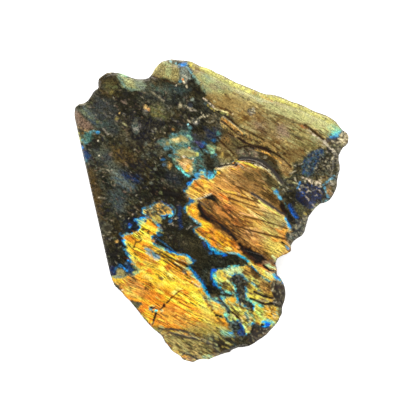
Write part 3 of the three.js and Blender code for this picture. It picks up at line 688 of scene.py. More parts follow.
for tints, soft, *outline in (
    ((ROSEWOOD, TAUPE, BUFF), 2.2, 20, 46, 28, 45, 34, 42, 38, 37, 34, 34, 27, 36, 21, 40),
    ((MOSS, OLIVE, LEATHER), 1.8, 34, 33, 48, 29, 46, 25, 40, 25, 36, 28),
):
    blot(tints, soft, *outline, strength=0.6, grain=1.4)
for tints, soft, *outline in (
    ((LEAF, SEA), 1.2, 57, 42, 61, 42.5, 63.5, 41, 62.5, 38.5, 59.5, 37.5, 57.5, 38.5),
    ((CYAN, MINT), 1.1, 58, 38.5, 61, 40, 64, 40, 64, 38.5, 61, 36.5, 58.5, 36),
    ((IRIS, IRIS, HAZE), 1, 58, 37, 61, 38, 64.5, 38.5, 63.5, 36, 60, 35, 58, 35),
):
    blot(tints, soft, *outline, lean=-45)
blot((COBALT, NAVY, PLUM), 1, 57.5, 35.5, 63.5, 36, 62.5, 34, 59.5, 33.5, 57, 34)

blot(
    (REED, OCHRE, HAY), 2, 8, 40, 16, 36, 24, 33, 32, 29, 31, 25, 24, 28, 14, 29, 6, 33, strength=0.4,
    stretch=6
)

# Steps and dark seams across the shoulder; the dark lines along the steps are partly painted shade.
stripe(CHESTNUT, 1, 30, 48, 42, 43.2, 46, 42, strength=0.7, sink=0.15)
dab(RUST, 45, 41.5, 2.3, 0.8, -20)
stripe(ROCK, 0.9, 33, 40, 40, 37.6, 46, 35, strength=0.7, sink=0.15)
for tints, soft, *outline in (
    ((MUD, DRAB), 0.8, 40.5, 37, 45.5, 35.5, 45, 34.5, 41, 34.5),
    ((STONE, LICHEN), 1.5, 48, 37, 53, 37, 53, 33, 49, 33),
):
    blot(tints, soft, *outline, strength=0.7)
blot((ROSEWOOD, BUFF), 1.8, 32, 43, 38, 42, 38, 37, 33, 36, strength=0.6)
blot((DRAB, OLIVE, REED), 1.5, 42, 33, 50, 33, 51, 30, 46, 29, 42, 31, strength=0.7)
blot((LEATHER, NUT, UMBER), 1.4, 29, 35, 34, 35, 34, 31, 30, 31)
stripe(TAR, 1.2, 30, 30.2, 36.4, 27.8, sink=0.15)
blot((CAMEL, OCHRE, CAMEL), 1.6, 36, 30, 46, 30, 46, 26, 42, 25, 37, 25, strength=0.7)
blot(
    (TAN, SAND, MALT), 1, 33, 26, 36.5, 25, 39, 22.5, 40, 20.5, 39.5, 18, 37.5, 17, 35.5, 17.5, 34,
    19.5, 33, 23
)
stripe(KHAKI, 0.6, 34, 17.4, 35.8, 16.1, 38.2, 16.2, 40, 18)

# A cleavage step in two treads: painted highlights where the edges catch the light, and painted shade under
# them.
stripe(LINEN, 0.7, -4.5, 55.5, -2.6, 54.2, 1.6, 50.4, rough=0.3, strength=1)
stripe(BRASS, 0.6, -2.4, 52.1, 1, 49.3, strength=1)
stripe(OAK, 1.1, 1.8, 51.2, 6.4, 49.9, sink=0.15)
stripe(PRIMROSE, 0.6, 1.4, 50.4, 7.6, 48.3, gaps=0.2, strength=1)
stripe(LIME, 0.8, 4.4, 48.4, 7.6, 47.1)
stripe(CREAM, 0.5, 5.4, 46.2, 8, 44.4, 15, 38.2, rough=0.3, gaps=0.2, strength=1)
for shade, width, *line in (
    (COPAL, 0.5, 5.6, 44.8, 7.4, 43.4, 11.6, 39.2), (TAR, 0.6, 6.4, 45.2, 13, 39.2),
):
    stripe(shade, width, *line, gaps=0.2, strength=1)
dab(MALT, 5, 45.2, 0.8, strength=1)
blot((UMBER, HAY, TAN), 1.2, 13.5, 46.5, 18, 47, 18, 43.5, 14, 43.5, strength=0.7)
for tints, soft, *outline in (
    ((UMBER, CAMEL, NUT), 1.6, 21, 51, 26, 51, 26, 44, 21, 44),
    ((OLIVE, REED, OLIVE), 2, 26, 45, 32, 45, 32, 37, 27, 37),
):
    blot(tints, soft, *outline, strength=0.6)

# One round pit on the shoulder: dark within, with painted highlights where its rim catches the light.
dab(COAL, 19.5, 49, 1.7, 1.7, rough=0.8, sink=0.35)
for shade, width, *line in (
    (IVORY, 0.5, 20.1, 50.6, 21, 49.9, 20.9, 48.9), (IVORY, 0.6, 18.5, 49.4, 18.7, 48.5, 19.7, 48.1),
):
    stripe(shade, width, *line, rough=0.8)
dab(CHALK, 19.9, 49.5, 0.4, strength=1)

# Rough ground between the head and the great flash: white crystal crosses and loops.
for shade, width, *line in (
    (CREAM, 0.9, -5.6, 48.4, -3.5, 46, -2, 47.4), (CREAM, 0.8, -7.6, 44.9, -5, 46.6),
    (BONE, 0.7, -13.6, 51.9, -12, 50.8, -10, 50.6), (PUTTY, 0.6, -11, 49.4, -9, 49.8, -7.4, 49),
    (STONE, 0.8, -29.8, 58.6, -24, 54.1), (BONE, 0.7, -12, 44.6, -10.8, 43.5),
    (STONE, 0.6, -3, 44, -1, 43.4, 1, 44.4), (ROSEWOOD, 0.7, -45.2, 54.2, -42.4, 52.5),
    (FLAX, 0.6, -44.4, 43.2, -42, 41.4), (PUTTY, 0.6, -54, 40.3, -52, 37.7, -50.5, 37.8, -49.4, 36.4),
    (PEWTER, 0.7, -34.4, 49.4, -33.6, 48, -32.4, 47.2),
):
    stripe(shade, width, *line, rough=0.5)
for shade, x, y, *size in (
    (IVORY, -8, 43.8, 0.6), (GLACIER, -12, 42.4, 0.5), (LAGOON, -11, 41, 0.9), (SHALE, -11, 52, 1.2),
    (SHELL, -18, 61.8, 0.4), (STONE, -16, 52, 1.2), (FOG, -10, 55, 0.8), (POOL, -3.5, 53, 0.9),
    (FAWN, -33, 51, 1.1), (CLAY, -31.5, 50, 0.9), (FAWN, -46, 48.2, 0.5), (OLIVE, -47.5, 45.5, 0.9),
    (MOSS, -57, 44, 0.9), (IVORY, -56.7, 34.3, 0.4), (IVORY, -56.2, 27, 0.4), (CHALK, -35.5, 4, 0.4),
    (PEWTER, -38.6, 30, 0.7), (WILLOW, -33, 33, 0.9), (ASH, -42.4, 35, 0.7), (WILLOW, -28.4, 20.4, 0.8),
    (WILLOW, -30.4, 13.4, 0.8), (MOSS, -25.5, 8.5, 0.9),
):
    dab(shade, x, y, *size, rough=0.3, strength=1)
blot(
    (INK, PEAT, INK, ROCK, INK), 0.9, -43.5, 45.5, -40, 46.5, -35, 45, -30, 45, -24, 43.5, -22.5, 41.5,
    -31, 40.5, -29.5, 37, -31.5, 34, -36, 33.5, -40.5, 35, -40.5, 39, grain=0.5, stretch=2, lean=-45
)
blot(
    (POOL, PEWTER, DUSK), 0.5, -39.5, 45.5, -37.5, 45, -36, 38.5, -38, 37, -39.5, 38.5, -40, 42,
    lean=70, grain=0.6, stretch=2
)
for shade, width, *line in (
    (CHALK, 0.6, -55.6, 20.3, -52.7, 20.4, -51.2, 19.4), (SHELL, 0.6, -56.6, 6.3, -53, 6.2),
):
    stripe(shade, width, *line)
stripe(PEWTER, 0.5, -48, 24.3, -42, 21, strength=0.6)
dab(PEWTER, -52, -9, 2.4, 2.2, strength=0.6, rough=0.3)
dab(PEAT, -52, -9, 1.7, 1.5, sink=0.15)
stripe(STONE, 0.6, -53.2, -10.8, -51.8, -11.5, -50.6, -10.9)
for shade, x, y, *size in (
    (PUTTY, -50.2, -13.8, 0.35), (CHALK, -41.4, -4.2, 0.35), (PUTTY, -54, -12.7, 0.35),
    (MALT, -47.3, -15.5, 0.8), (INK, -47.5, -17.5, 0.8), (INK, -46, -14.5, 0.7), (COBALT, -41, -7.5, 0.9),
    (MARINE, -41, -8.5, 0.6),
):
    dab(shade, x, y, *size, strength=1)

# Islands of sheen left of the great flash: three lobes with ragged teal and blue shores.
blot(
    (TEAL, FOG, JADE), 0.8, -27, 35, -25, 35.5, -22.5, 35, -21, 34, -20.5, 32.5, -21.5, 31.5, -23, 31,
    -24.5, 31.5, -27.5, 34, glow=0.4
)
dab(REED, -22, 33, 0.9, strength=1)
blot((DUSK, WILLOW, WILLOW), 1, -16.5, 41.5, -11.5, 41.5, -11.5, 38, -16, 37.5, strength=0.7)
blot(
    (LAGOON, TEAL, JADE, SEA), 1.4, -22, 36, -19, 38, -15, 39, -11, 38, -9, 35, -11, 32, -5, 29, -5, 27,
    -7, 25, -8, 22, -7, 19, -10, 17, -13, 17, -15, 18, -16, 21, -20, 26, -19, 31, -21, 33, lean=-40
)
for tints, soft, *outline in (
    ((KHAKI, DUNE, FLAX, PEAR), 1.2, -20.5, 35, -18, 36.5, -14.5, 37, -12, 36, -11, 34.5, -13, 33.5, -19,
    33),
    ((REED, DUNE, STRAW, FLAX), 1.2, -18, 30, -14.5, 30.5, -11, 30, -8.5, 29, -7, 27.5, -8.5, 26.5, -11.5,
    26, -15, 26.5, -17.5, 28),
):
    blot(tints, soft, *outline, lean=-35, glow=0.8, strength=1)
blot(
    (MALT, FAWN, PEACH, BUTTER), 1.1, -18, 26, -14, 26, -10, 24.5, -9.5, 19.5, -11, 18.5, -13, 18.5,
    -17.5, 24, lean=-35, glow=0.9, strength=1
)
stripe(TAN, 0.6, -18.5, 27.8, -13, 25.5, -9.4, 24.3)
stripe(MOSS, 0.7, -20, 33, -17, 31.4, -13.4, 30.4, strength=0.7)
for shade, x, y, *size in (
    (BUTTER, -19, 35, 0.9, 0.6), (BUTTER, -17.2, 35.2, 0.7, 0.6), (PEACH, -11.5, 30.8, 0.6, 0.6),
    (IVORY, -14, 26.5, 0.9, 0.5), (SHELL, -9.5, 25.3, 0.8, 0.5), (LIME, -7.5, 27.5, 0.9, 1.1),
    (WHEAT, -12, 21.5, 1, 1.1), (GOLD, -12.5, 19.5, 0.9, 0.6), (BUTTER, -10.5, 20.5, 0.9, 0.9),
    (TAN, -19.5, 40, 0.9, 0.6), (BONE, -23.5, 38.3, 0.4, 0.4), (LAGOON, -22.5, 30.5, 2, 1),
    (LAGOON, -21, 27, 0.9, 0.7), (PETROL, -24.5, 25, 1.1, 0.6), (SLATE, -24, 22.5, 1.1, 0.9),
    (MALT, -21, 22, 1.2, 1.8), (DENIM, -5, 32, 1.3, 1.1), (SLATE, -8, 30.5, 1.5, 0.8),
):
    dab(shade, x, y, *size, strength=1)
for shade, width, *line in (
    (MIST, 1, -20.2, 37.6, -18, 37.8), (SEA, 1.1, -12.6, 37.2, -11, 36.4, -10.1, 35.2),
    (MIST, 0.9, -20.6, 31.6, -19, 30, -18.8, 28.4),
):
    stripe(shade, width, *line)
for shade, width, *line in (
    (TEAL, 1.6, -11.5, 41, -11, 38), (SMOKE, 1.2, -23.6, 24.2, -22.6, 22, -22.5, 20),
):
    stripe(shade, width, *line, strength=0.7)
stripe(FOAM, 1.2, -18, 22, -13.2, 17.7, -11.7, 16.9, strength=1)
stripe(MINT, 0.8, -17, 22.4, -13.6, 18.7)
for tints, soft, *outline in (
    ((WILLOW, PEWTER), 1.2, -26.5, 30, -22.5, 29.5, -22.5, 27, -26, 27.5),
    ((VIOLET, IRON, POOL), 1.6, -10, 38, -5, 37, -4, 32, -8, 31, -10, 33),
):
    blot(tints, soft, *outline, strength=0.6)
blot((TEAL, WILLOW, POOL), 1.6, -7, 26, -3, 26, -3, 20, -7, 20)
blot((DUSK, NAVY, IRON), 1.6, -4, 41, 2, 41, 5, 36, 3, 35, -3, 35, strength=0.7)
dab(TEAL, 3, 38, 1, 1.2)
dab(PETROL, 1, 34.5, 1.5, 0.8, strength=1)
dab(FOG, 3, 35, 1.2, 1.1)
stripe(PETROL, 1.5, -4.5, 33.5, -2, 32)
blot((SEA, LICHEN, FERN), 1, -3.5, 32.5, 1, 32.5, 2.5, 30.5, 1, 29, -2.5, 29.5, glow=0.5)
stripe(MIST, 1.3, -4, 29.6, -2, 28.6)
for shade, x, y, *size in (
    (SEA, 0, 28.5, 1.4, 0.9), (LAGOON, 0.5, 26.5, 1.1, 0.8), (HAZE, 1.5, 27.5, 0.9, 0.8),
):
    dab(shade, x, y, *size, strength=1)

# Dull ground over the arched ledge, between the shoulder and the great flash.
blot((LEATHER, OCHRE, SAND), 1.5, 2, 33, 6, 34, 10, 31, 13, 27, 12, 25, 5, 24, 2, 26, glow=0.4)
blot((PEAT, GRAPHITE, ROCK), 1.5, -3, 27, 1, 27, 3, 24, 1, 21, -2, 21, strength=0.6)
blot((POOL, WILLOW), 1, 1, 26, 3, 26, 3, 22, 1, 22, strength=0.7)
blot((NUT, TAN, NUT), 1.4, 5, 37, 9, 37, 9, 33, 5, 33)
for tints, soft, *outline in (
    ((MUD, LEATHER, MUD), 1.4, 5, 41, 10, 40, 10, 36, 5, 37),
    ((GRAPHITE, DRAB), 1.6, 9, 36, 13, 36, 13, 30, 9, 30),
    ((NUT, CAMEL, DRAB), 1.6, 13, 37, 20, 36, 20, 32, 13, 32),
):
    blot(tints, soft, *outline, strength=0.7)
blot((MOSS, PEWTER, STONE), 2, 13, 31, 23, 30, 23, 25, 13, 26, grain=0.8, stretch=1.5)
blot((LEATHER, CAMEL, DRAB), 1.8, 23, 38, 31, 38, 31, 32, 24, 31, strength=0.6)
dab(KHAKI, 20, 33.5, 1.1, 0.8, strength=1)
stripe(MALT, 0.9, 22, 34.8, 23.5, 33, 26, 32)
for shade, width, *line in (
    (COCOA, 0.9, 6.6, 47, 10, 44, 14, 41, 18, 39, 23, 36, 28, 33.6, 33, 30),
    (COCOA, 0.9, 8, 38, 12, 36, 16, 33.6, 21, 31.8), (COCOA, 0.9, 2.4, 36, 5, 33, 8, 30.4, 10.6, 27.6),
):
    stripe(shade, width, *line, gaps=0.2, sink=0.15)
for shade, width, *line in (
    (DUNE, 0.6, 6.8, 30, 8.5, 28.8, 11.2, 25.3), (STRAW, 0.7, 3, 26.8, 7.2, 24.7),
):
    stripe(shade, width, *line)
blot((REED, PUTTY), 0.9, 4, 25, 9, 25, 9, 22.5, 4.5, 22.5)
for shade, x, y, *size in (
    (IVORY, 8.5, 22.9, 0.8, 0.4), (HAY, 5, 27.5, 0.8, 1.3), (DUNE, 3, 30.5, 1.1, 0.9),
):
    dab(shade, x, y, *size, strength=1)
# A cleavage step: a dark line, partly painted shade, over a painted highlight along its lit edge.
stripe(COCOA, 1.5, 20, 31, 24, 30.5, 28, 29, 32, 28.5, sink=0.15)
stripe(WHEAT, 0.8, 21.6, 30, 24.4, 29.3, 27, 28.3, 31.6, 25.6, 34, 23.4, gaps=0.2, strength=1)
for tints, soft, *outline in (
    ((BARK, BARK, ROCK), 1.5, 24, 28, 29, 27, 32, 24, 33, 20, 33, 16, 30, 19, 22, 23),
    ((LOAM, PEAT, BARK), 1.5, 41, 23, 44, 22, 44, 17, 41, 16),
):
    blot(tints, soft, *outline)
strew(
    (GRAPHITE, STONE, PEAT, TAUPE), 60, 96, 12, 31, 22, 31, 26, 28, 28, 25, 22, 26.6, 12.6, 27,
    long=1.8, width=0.35, lean=-24, spread=30, strength=0.8
)
stripe(PITCH, 0.7, 12.6, 30.6, 15, 31.4, 18, 31.8, 20.6, 31, gaps=0.2)

SHOULDER_LOW = (
    -2, 52, 8, 47, 14, 38, 26, 34, 32, 29, 30, 27, 34, 18, 40, 16, 44, 25, 58, 31, 62, 38, 50, 42, 36,
    47, 20, 54, 4, 58
)
strew((UMBER, TEAK, NUT), 120, 75, *SHOULDER_LOW, long=4, width=0.35, lean=-30, spread=12, strength=0.7)
strew((FLAX, BUTTER, DUNE), 90, 76, *SHOULDER_LOW, long=2.4, width=0.3, lean=-30, spread=25, strength=0.6)
strew(
    (HAY, MALT, FAWN), 70, 107, 4, 44, 10, 42, 20, 37, 30, 33, 34, 28, 26, 31, 16, 33, 6, 40, long=3.4,
    width=0.4, lean=-33, spread=12, strength=0.7
)
strew(
    (BARK, COCOA), 34, 120, 6, 40, 16, 38, 28, 32, 34, 28, 28, 26, 14, 30, 6, 34, long=2.6, width=0.36,
    lean=-34, spread=12, strength=0.75
)
for shade, width, *line in (
    (TAR, 0.9, 13, 35.8, 17, 33.2, 21, 31.8, 26, 30.8, 30, 28.8, 35, 25.6, 39, 21.6),
    (WHEAT, 0.6, 6, 45.4, 15, 38), (COCOA, 0.7, 4.6, 44.4, 14, 36.6),
    (COCOA, 0.8, 46, 42.6, 50, 39.6, 57, 33), (DRAB, 0.7, 27, 48.6, 32, 46.6, 44, 42.4),
):
    stripe(shade, width, *line, gaps=0.2)
blot(
    (PEAR, FLAX, PEAR, STRAW), 2.4, 8, 58, 16, 58, 28, 53, 40, 49, 52, 43, 50, 41, 38, 44, 26, 49, 12,
    53, strength=0.3, stretch=6
)

# The great flash: copper and old gold down the middle of the face, cut off by the arched
# ledge above and shored by a bright gold strip with a blue rim below.
GREAT_OUTLINE = (
    -13.6, 9, -12.6, 12, -10.6, 14, -8, 15.6, -6, 17.6, -4.2, 19, -2.9, 18, -3, 16.2, -1.4, 15.2, 0.2,
    16.2, 1.6, 18.2, 2.6, 20.4, 4.5, 20.7, 6, 21.4, 9, 22.4, 11, 23.4, 12.2, 25, 16, 24.2, 24, 21.4, 28,
    18.8, 31, 15.8, 33, 13.3, 33, 11, 32.2, 9, 33.4, 6.5, 37.2, 2, 37.6, 0, 37, -2.4, 36.8, -4.4, 39.4,
    -10, 38.8, -12, 37.6, -13.6, 38, -15.6, 39.6, -17.4, 44, -20, 60, -24, 60, -40, 34, -36, 31.5,
    -34.6, 29, -36.4, 26, -34.6, 22.8, -31, 21, -29.6, 17, -24.1, 15, -23.1, 13.5, -22.1, 12, -21.4, 5,
    -20.9, 3.5, -20.6, 2, -19.9, -1.5, -17.7, -4.5, -14.4, -8, -12, -9.5, -9.2, -7, -8.3, -5.2, -7.9,
    -7.7, -5.7, -11, -3.7, -13.2, -0.7, -13.4, 0.7, -12.8, 2.2, -11.3, 3.3, -10.6, 4.8, -12, 6.5
)
GREAT_LEDGE = (4, 21.6, 11, 24.6, 16, 25, 24, 22.4, 28, 20, 31, 17, 34, 12.4)
GREAT_SHADES = ((146, 98, 46), (188, 134, 64), (212, 156, 76), (226, 176, 88), (244, 206, 122))
flash(GREAT_SHADES, GREAT_OUTLINE, bare=GREAT_LEDGE, rim=1.2, lean=-33, fray=0.9)
blot(
    (APRICOT, AMBER, MARIGOLD, YELLOW), 1, -12.5, 2, -9.5, 3, -8, 2, -7, 0.5, -7, -4, -4, -5, -1, -7, 1,
    -9.5, 3, -10, 8.5, -13, 10, -15, 11, -17.5, 19, -25, 20, -27, 17.5, -24.5, 13, -21.5, 3, -20, -1,
    -17, -4.5, -13.5, -8, -11, -8.5, -10, -5, -7.5, -12, -2, glow=1, lean=-38, strength=1
)
blot(
    (APRICOT, WHEAT, SUN), 1.4, -11, 5, 1, 11, 2, 15, -1, 15, -4, 17, -7, 16, -12, 12, -12, 7, lean=-35,
    glow=1
)
blot((CLAY, HONEY, WHEAT), 2, 0, 12, 6, 14, 14, 7, 8, 6, 3, 8, lean=-30, glow=1)
blot((TAN, MALT, SAND), 2.5, 7, 20, 14, 21, 20, 19, 26, 14, 24, 8, 18, 8, 7, 15, lean=-38, glow=1)
blot(
    (LEATHER, CAMEL, TAN, OCHRE), 2.4, 13, 19, 19, 20, 25, 20, 30, 15, 33, 10, 35, 4, 31, 5, 13, 15,
    lean=-38, stretch=8, glow=1
)
blot(
    (MALT, HAY, STRAW, LIME), 3, 24, 1, 29, -2, 35, -7, 34, -12, 29, -16, 25, -17, 23, -13, 24, -6,
    lean=-38, stretch=8, glow=1, strength=0.7
)
for tints, soft, *outline in (
    ((BRASS, CORN, CORN), 2.6, 27, -16, 31, -14, 36, -15, 38, -20, 34, -23, 29, -22, 27, -19),
    ((COPAL, APRICOT, WHEAT), 1.8, 33, -9, 40, -9, 44, -14, 38, -18, 34, -15),
):
    blot(tints, soft, *outline, lean=-45, glow=1)
blot((TAN, CLAY, PEACH), 2, 12, -8, 22, -9, 24, -14, 18, -17, 13, -13, lean=-33, glow=1)
blot(
    (LEATHER, CAMEL, MUD, TAN), 1.8, 15, 22, 24, 18, 28, 14, 32, 8, 32, 6, 28, 8, 14, 20, lean=-38,
    stretch=5, strength=0.6
)
blot(
    (GRAPHITE, DRAB, ROCK), 1.2, 25, 18.5, 29, 17.5, 32.5, 13.5, 32, 9, 29.5, 10.5, 26, 14, lean=-45,
    stretch=3, strength=0.6
)
blot(
    (COPAL, HONEY, CLAY), 2, 1, 16, 6, 19, 12, 18, 13, 13, 8, 10, 2, 11, lean=-30, stretch=3,
    strength=0.5, glow=0.7
)
strew((BRICK, OAK, SIENNA), 90, 77, *GREAT_OUTLINE, long=5, width=0.3, lean=-24, spread=9, strength=0.75)
strew((BUTTER, SUN, PEACH), 90, 78, *GREAT_OUTLINE, long=3, width=0.35, lean=-33, spread=8, strength=0.6)

for shade, x, y, *size in (
    (GOLD, 10.5, 20.5, 1.6, 0.5, -30), (RUSSET, -8, 12.5, 1.6, 0.8, -30), (GOLD, -3.5, 14, 1.8, 0.8, -35),
    (AMBER, -8, -1, 1, 1.8, 0), (RUSSET, 6, 6.5, 3, 0.7, -33), (ORANGE, 0.5, -16.5, 1.6, 1.8, -30),
    (AMBER, 6, -13.5, 2.8, 1.4, -35), (EMBER, 11, -16.5, 2.4, 1.6, -38), (LEMON, 8, -19, 2, 0.8, -10),
    (WHEAT, 7, 4, 1.6, 0.6, -30), (COPAL, 32.5, -10, 2.6, 0.6, -33), (APRICOT, 31.5, -15, 2.2, 0.8, -20),
    (PEWTER, 35, -7.5, 1.1, 1.6, -30),
):
    dab(shade, x, y, *size)

# Fibres of darker feldspar that run through it, and its healed joints.
for shade, width, *line in (
    (NUT, 1.6, 17, 19, 19, 16.5, 24.5, 12.5), (CAMEL, 1.4, 15.5, 12, 21, 7, 25, 4.5),
    (OAK, 0.7, 6, 9.2, 24, 3.4), (SUN, 0.8, 4.6, 9.6, 12, 8.4), (HAY, 0.9, 25.6, 12.2, 29.2, 9.4),
    (OAK, 0.6, 8, 6.1, 23, 1), (CHESTNUT, 0.6, 12, 11.6, 15, 10.6, 21, 7.2),
    (CAMEL, 0.7, 17, 1.7, 24, -0.5, 31, -2.3), (COCOA, 0.8, 19.6, 6.2, 27, 3, 30, 0.8),
    (CHESTNUT, 0.7, 16, -3.2, 23, -4.7, 28, -6.3), (TEAK, 0.7, 28, -6.3, 31, -7, 37, -9.2),
    (WALNUT, 0.7, 6.6, -6.9, 13, -8.3, 18, -10, 26, -11.8), (WALNUT, 0.8, 26, -11.8, 37, -14.6),
    (HONEY, 0.7, 10, -9, 20, -17, 25, -21.5), (SIENNA, 0.6, 12, -6.6, 16, -7.6, 20, -8.2),
    (CAMEL, 0.6, 8.6, 17.8, 12, 16.6, 15, 14), (CAMEL, 0.6, 4, 17.4, 7, 16, 11, 12.6),
    (WHEAT, 0.7, 9.4, 4.6, 13, 3, 17, 0.4), (PEACH, 0.7, 14, -1.4, 18, -2.6, 22, -3.4),
    (EMBER, 0.6, -7, -9, -3, -11, 0, -11.5), (COPPER, 0.6, 0, -14.5, 6, -18.5),
    (BRONZE, 0.6, 2, -11.6, 5, -13.8, 8.6, -15.6), (BRICK, 0.8, -10.6, 11.8, -4, 8.5),
    (COPPER, 0.7, -8.8, 14.6, -7, 12.8, -4, 10.4),
):
    stripe(shade, width, *line, gaps=0.2)

# The arched ledge that cuts it off above: a dark undercut, partly painted shade, with a bright
# broken edge that is a painted highlight where the step faces the light.
stripe(PITCH, 1.2, 2.8, 21.2, 9, 22.6, 11, 22.4, sink=0.3, gaps=0.2)
stripe(
    SOOT, 1.3, 11.6, 23.4, 11.8, 22.2, 12.6, 24.2, 14, 25.3, 18, 25.3, 22, 24.9, 24.4, 23.7, strength=1,
    sink=0.3, gaps=0.2
)
blot((UMBER, WALNUT, MUD), 0.8, 17, 25, 22, 25, 26, 23, 28, 21, 26, 21, 18, 23.5)
stripe(
    PITCH, 1.2, 14, 25.9, 18, 26.1, 22, 25.4, 26, 23.6, 29, 21, 31.4, 18.2, 34.8, 13, strength=1,
    gaps=0.2, rough=1
)
stripe(TAR, 1.3, 24, 23.4, 27, 21.7, 29.6, 19.3, 33, 14.6, sink=0.15, gaps=0.2)
# Painted highlights along the ledge's broken edge.
stripe(BUTTER, 0.9, 1.6, 20.4, 4.5, 20.5, 6, 21.2, 9.4, 22, gaps=0.2)
stripe(CITRON, 0.8, 11.8, 24.3, 18, 22.9, 21.6, 21.2, strength=1, gaps=0.2)
stripe(CREAM, 0.4, 21, 22.6, 24.5, 21.4, 27.6, 19.6, 32.8, 13.9, 34.4, 12.5, strength=1, gaps=0.4)
for shade, width, *line in (
    (BONE, 0.7, 12.1, 23.7, 13.6, 22.7), (BONE, 0.7, 14, 22, 15.2, 21.2),
):
    stripe(shade, width, *line, gaps=0.2)
blot((TAN, CARAMEL), 1, 22.5, 20.5, 26, 20.5, 28, 18.5, 25, 18, 22.5, 19, lean=-38, glow=0.9, strength=0.7)

# The torn lip at its middle: a black wedge of painted shadow under a white ledge, a long
# tapering shadow and bruised crystal.
blot(
    (TAN, RUST, CLAY), 1.2, -7.5, 5.5, -3, 5, 1, 3.5, 4, 4, 8, -1.5, 12, -5, 13.5, -7.5, 6.5, -6, 2, -2,
    -1, 2, -4, 4.5, lean=-38, stretch=9, glow=1, strength=0.7
)
blot(
    (COPPER, TAN, CHESTNUT, CARAMEL), 1.6, 0, -1, 22, -19, 27, -22, 31, -26, 26, -26, 15, -20, 10, -15,
    1, -8, lean=-38, stretch=12, glow=1
)
blot(
    (TAR, COCOA, PITCH, TEAK), 0.8, -7.5, 3, -6, 3, -3, -0.5, 1, -3.5, 4.5, -7, 0, -5.5, -1.5, -5.5,
    -6.5, -3.5, lean=-38, stretch=8, strength=1
)
strew(
    (WALNUT, TEAK, UMBER), 46, 89, -5, -1, 0, -3, 6, -6.4, 12, -10.6, 20, -17, 16, -17.4, 10, -13.4, 3,
    -9, -2, -5.4, long=5, width=0.35, lean=-38, spread=5, strength=0.8
)
# Painted shadow under the white ledge.
blot((SOOT, PITCH), 0.4, -4.5, 6, -1, 7.5, 0.5, 7.5, 2, 6.5, 3.5, 4.5, 2.5, 4, strength=1)
stripe(BONE, 0.7, -8.6, 5.4, -7, 5.5, -4.5, 6.1, -1, 8, -0.2, 8.1, strength=1, rough=0.5)
blot(
    (CHESTNUT, RUST, WALNUT), 0.9, -7, 4.5, -4.5, 4, 0, 0.5, 8, -9, 5, -9, -4.5, -1, lean=-42,
    stretch=6, strength=0.7
)
strew(
    (COCOA, TEAK, UMBER), 40, 98, -7, 4, -2, 3, 6, -4, 12, -11, 8, -12, 0, -6, long=5, width=0.4,
    lean=-42, spread=8, strength=0.85
)
strew(
    (APRICOT, COPAL), 24, 99, -4, 4, 3, 2, 10, -5, 14, -12, 8, -9, 1, -3, long=4, width=0.35, lean=-40,
    spread=8, strength=0.7
)
strew(
    (COPPER, CHESTNUT, RUST), 26, 115, -8, -7, -2, -7, 4, -10, 11, -17, 10, -20, 4, -19, -2, -16, -7,
    -11, long=3.2, width=0.34, lean=-40, spread=10, strength=0.7
)
strew(
    (CHESTNUT, NUT, TEAK), 60, 116, -6, 5, 2, 6, 10, 0, 18, -8, 22, -14, 14, -13, 4, -7, long=4.4,
    width=0.34, lean=-41, spread=6, strength=0.7
)
stripe(SOOT, 1.7, -6.5, 2.5, -5, -1.5, -3, -4, 4, -7.5, 8, -10.5, 15, -18.5)
stripe(TAR, 0.8, 0, 5, 2.6, 3, 11.6, -5.4, strength=0.7)

# Its blue shores, where the light just grazes the layers.
stripe(MARINE, 1, -11.4, 3.7, -13, 2.6, -13.9, 0.6, -13.6, -1, strength=0.7)
for shade, x, y, *size in (
    (PETROL, -10, 4.5, 1.2, 0.9), (IRIS, -11.5, 13, 1, 0.8),
):
    dab(shade, x, y, *size, strength=1)
for shade, width, *line in (
    (CITRON, 1, -12.6, 1.4, -12.4, -0.6, -11.4, -2), (GLACIER, 0.8, -6.4, -13.1, -4.4, -14.4, -3.2, -15.6),
):
    stripe(shade, width, *line)
dab(IRON, -13.5, 11, 1, 1.3, strength=0.7)
stripe(GLACIER, 0.9, -9, -5.2, -6.1, -7.1, strength=1)
stripe(COBALT, 1.4, -4.5, -16, -3, -19, -1, -21, 1.5, -22, strength=0.7)
for shade, width, *line in (
    (AZURE, 1.2, -2.9, -15.8, -2, -17.7, -0.8, -19.1, 0.4, -19.9), (CYAN, 0.8, 0, -19.4, 2.8, -20.7),
    (AZURE, 1.2, 0.6, -20.4, 2.6, -21.5, 6.4, -21.9),
):
    stripe(shade, width, *line)
for shade, x, y, *size in (
    (BLUE, 6, -22.5, 1.2, 0.5), (PETROL, -1, -21.5, 1.2, 0.7), (MARINE, -8, 17, 1.2, 0.9),
):
    dab(shade, x, y, *size, strength=1)
stripe(GLACIER, 0.7, 6.8, -21.1, 12.6, -21.6)
stripe(SKY, 1.3, 13, -22.1, 17, -24.5, 19.2, -27, strength=1)
blot((MARINE, HAZE, FOAM), 0.7, -8.5, 16.5, -7.5, 19, -5.5, 20.5, -3.5, 20, -3, 18.5, -6.5, 17, -7.5, 15.5)
dab(LEAF, -5, 18.5, 1, 0.7, strength=1)
blot((MARINE, HAZE), 0.6, -3, 18.5, -2, 19.5, 0.5, 19, 1, 17, -0.5, 16, -2.5, 16)
stripe(CYAN, 0.9, -3.8, 19, -3.2, 16.8, -1.5, 15.6, 0, 16.4, 1.5, 18.4, 1.2, 19.8)
for shade, x, y, *size in (
    (WILLOW, -2.5, 18.3, 0.6, 0.6), (CORN, -0.5, 14.5, 1.9, 0.5, -35), (GOLD, 3, 18.5, 0.9, 0.8),
    (SUN, -3, 12, 1.3, 0.8),
):
    dab(shade, x, y, *size, strength=1)

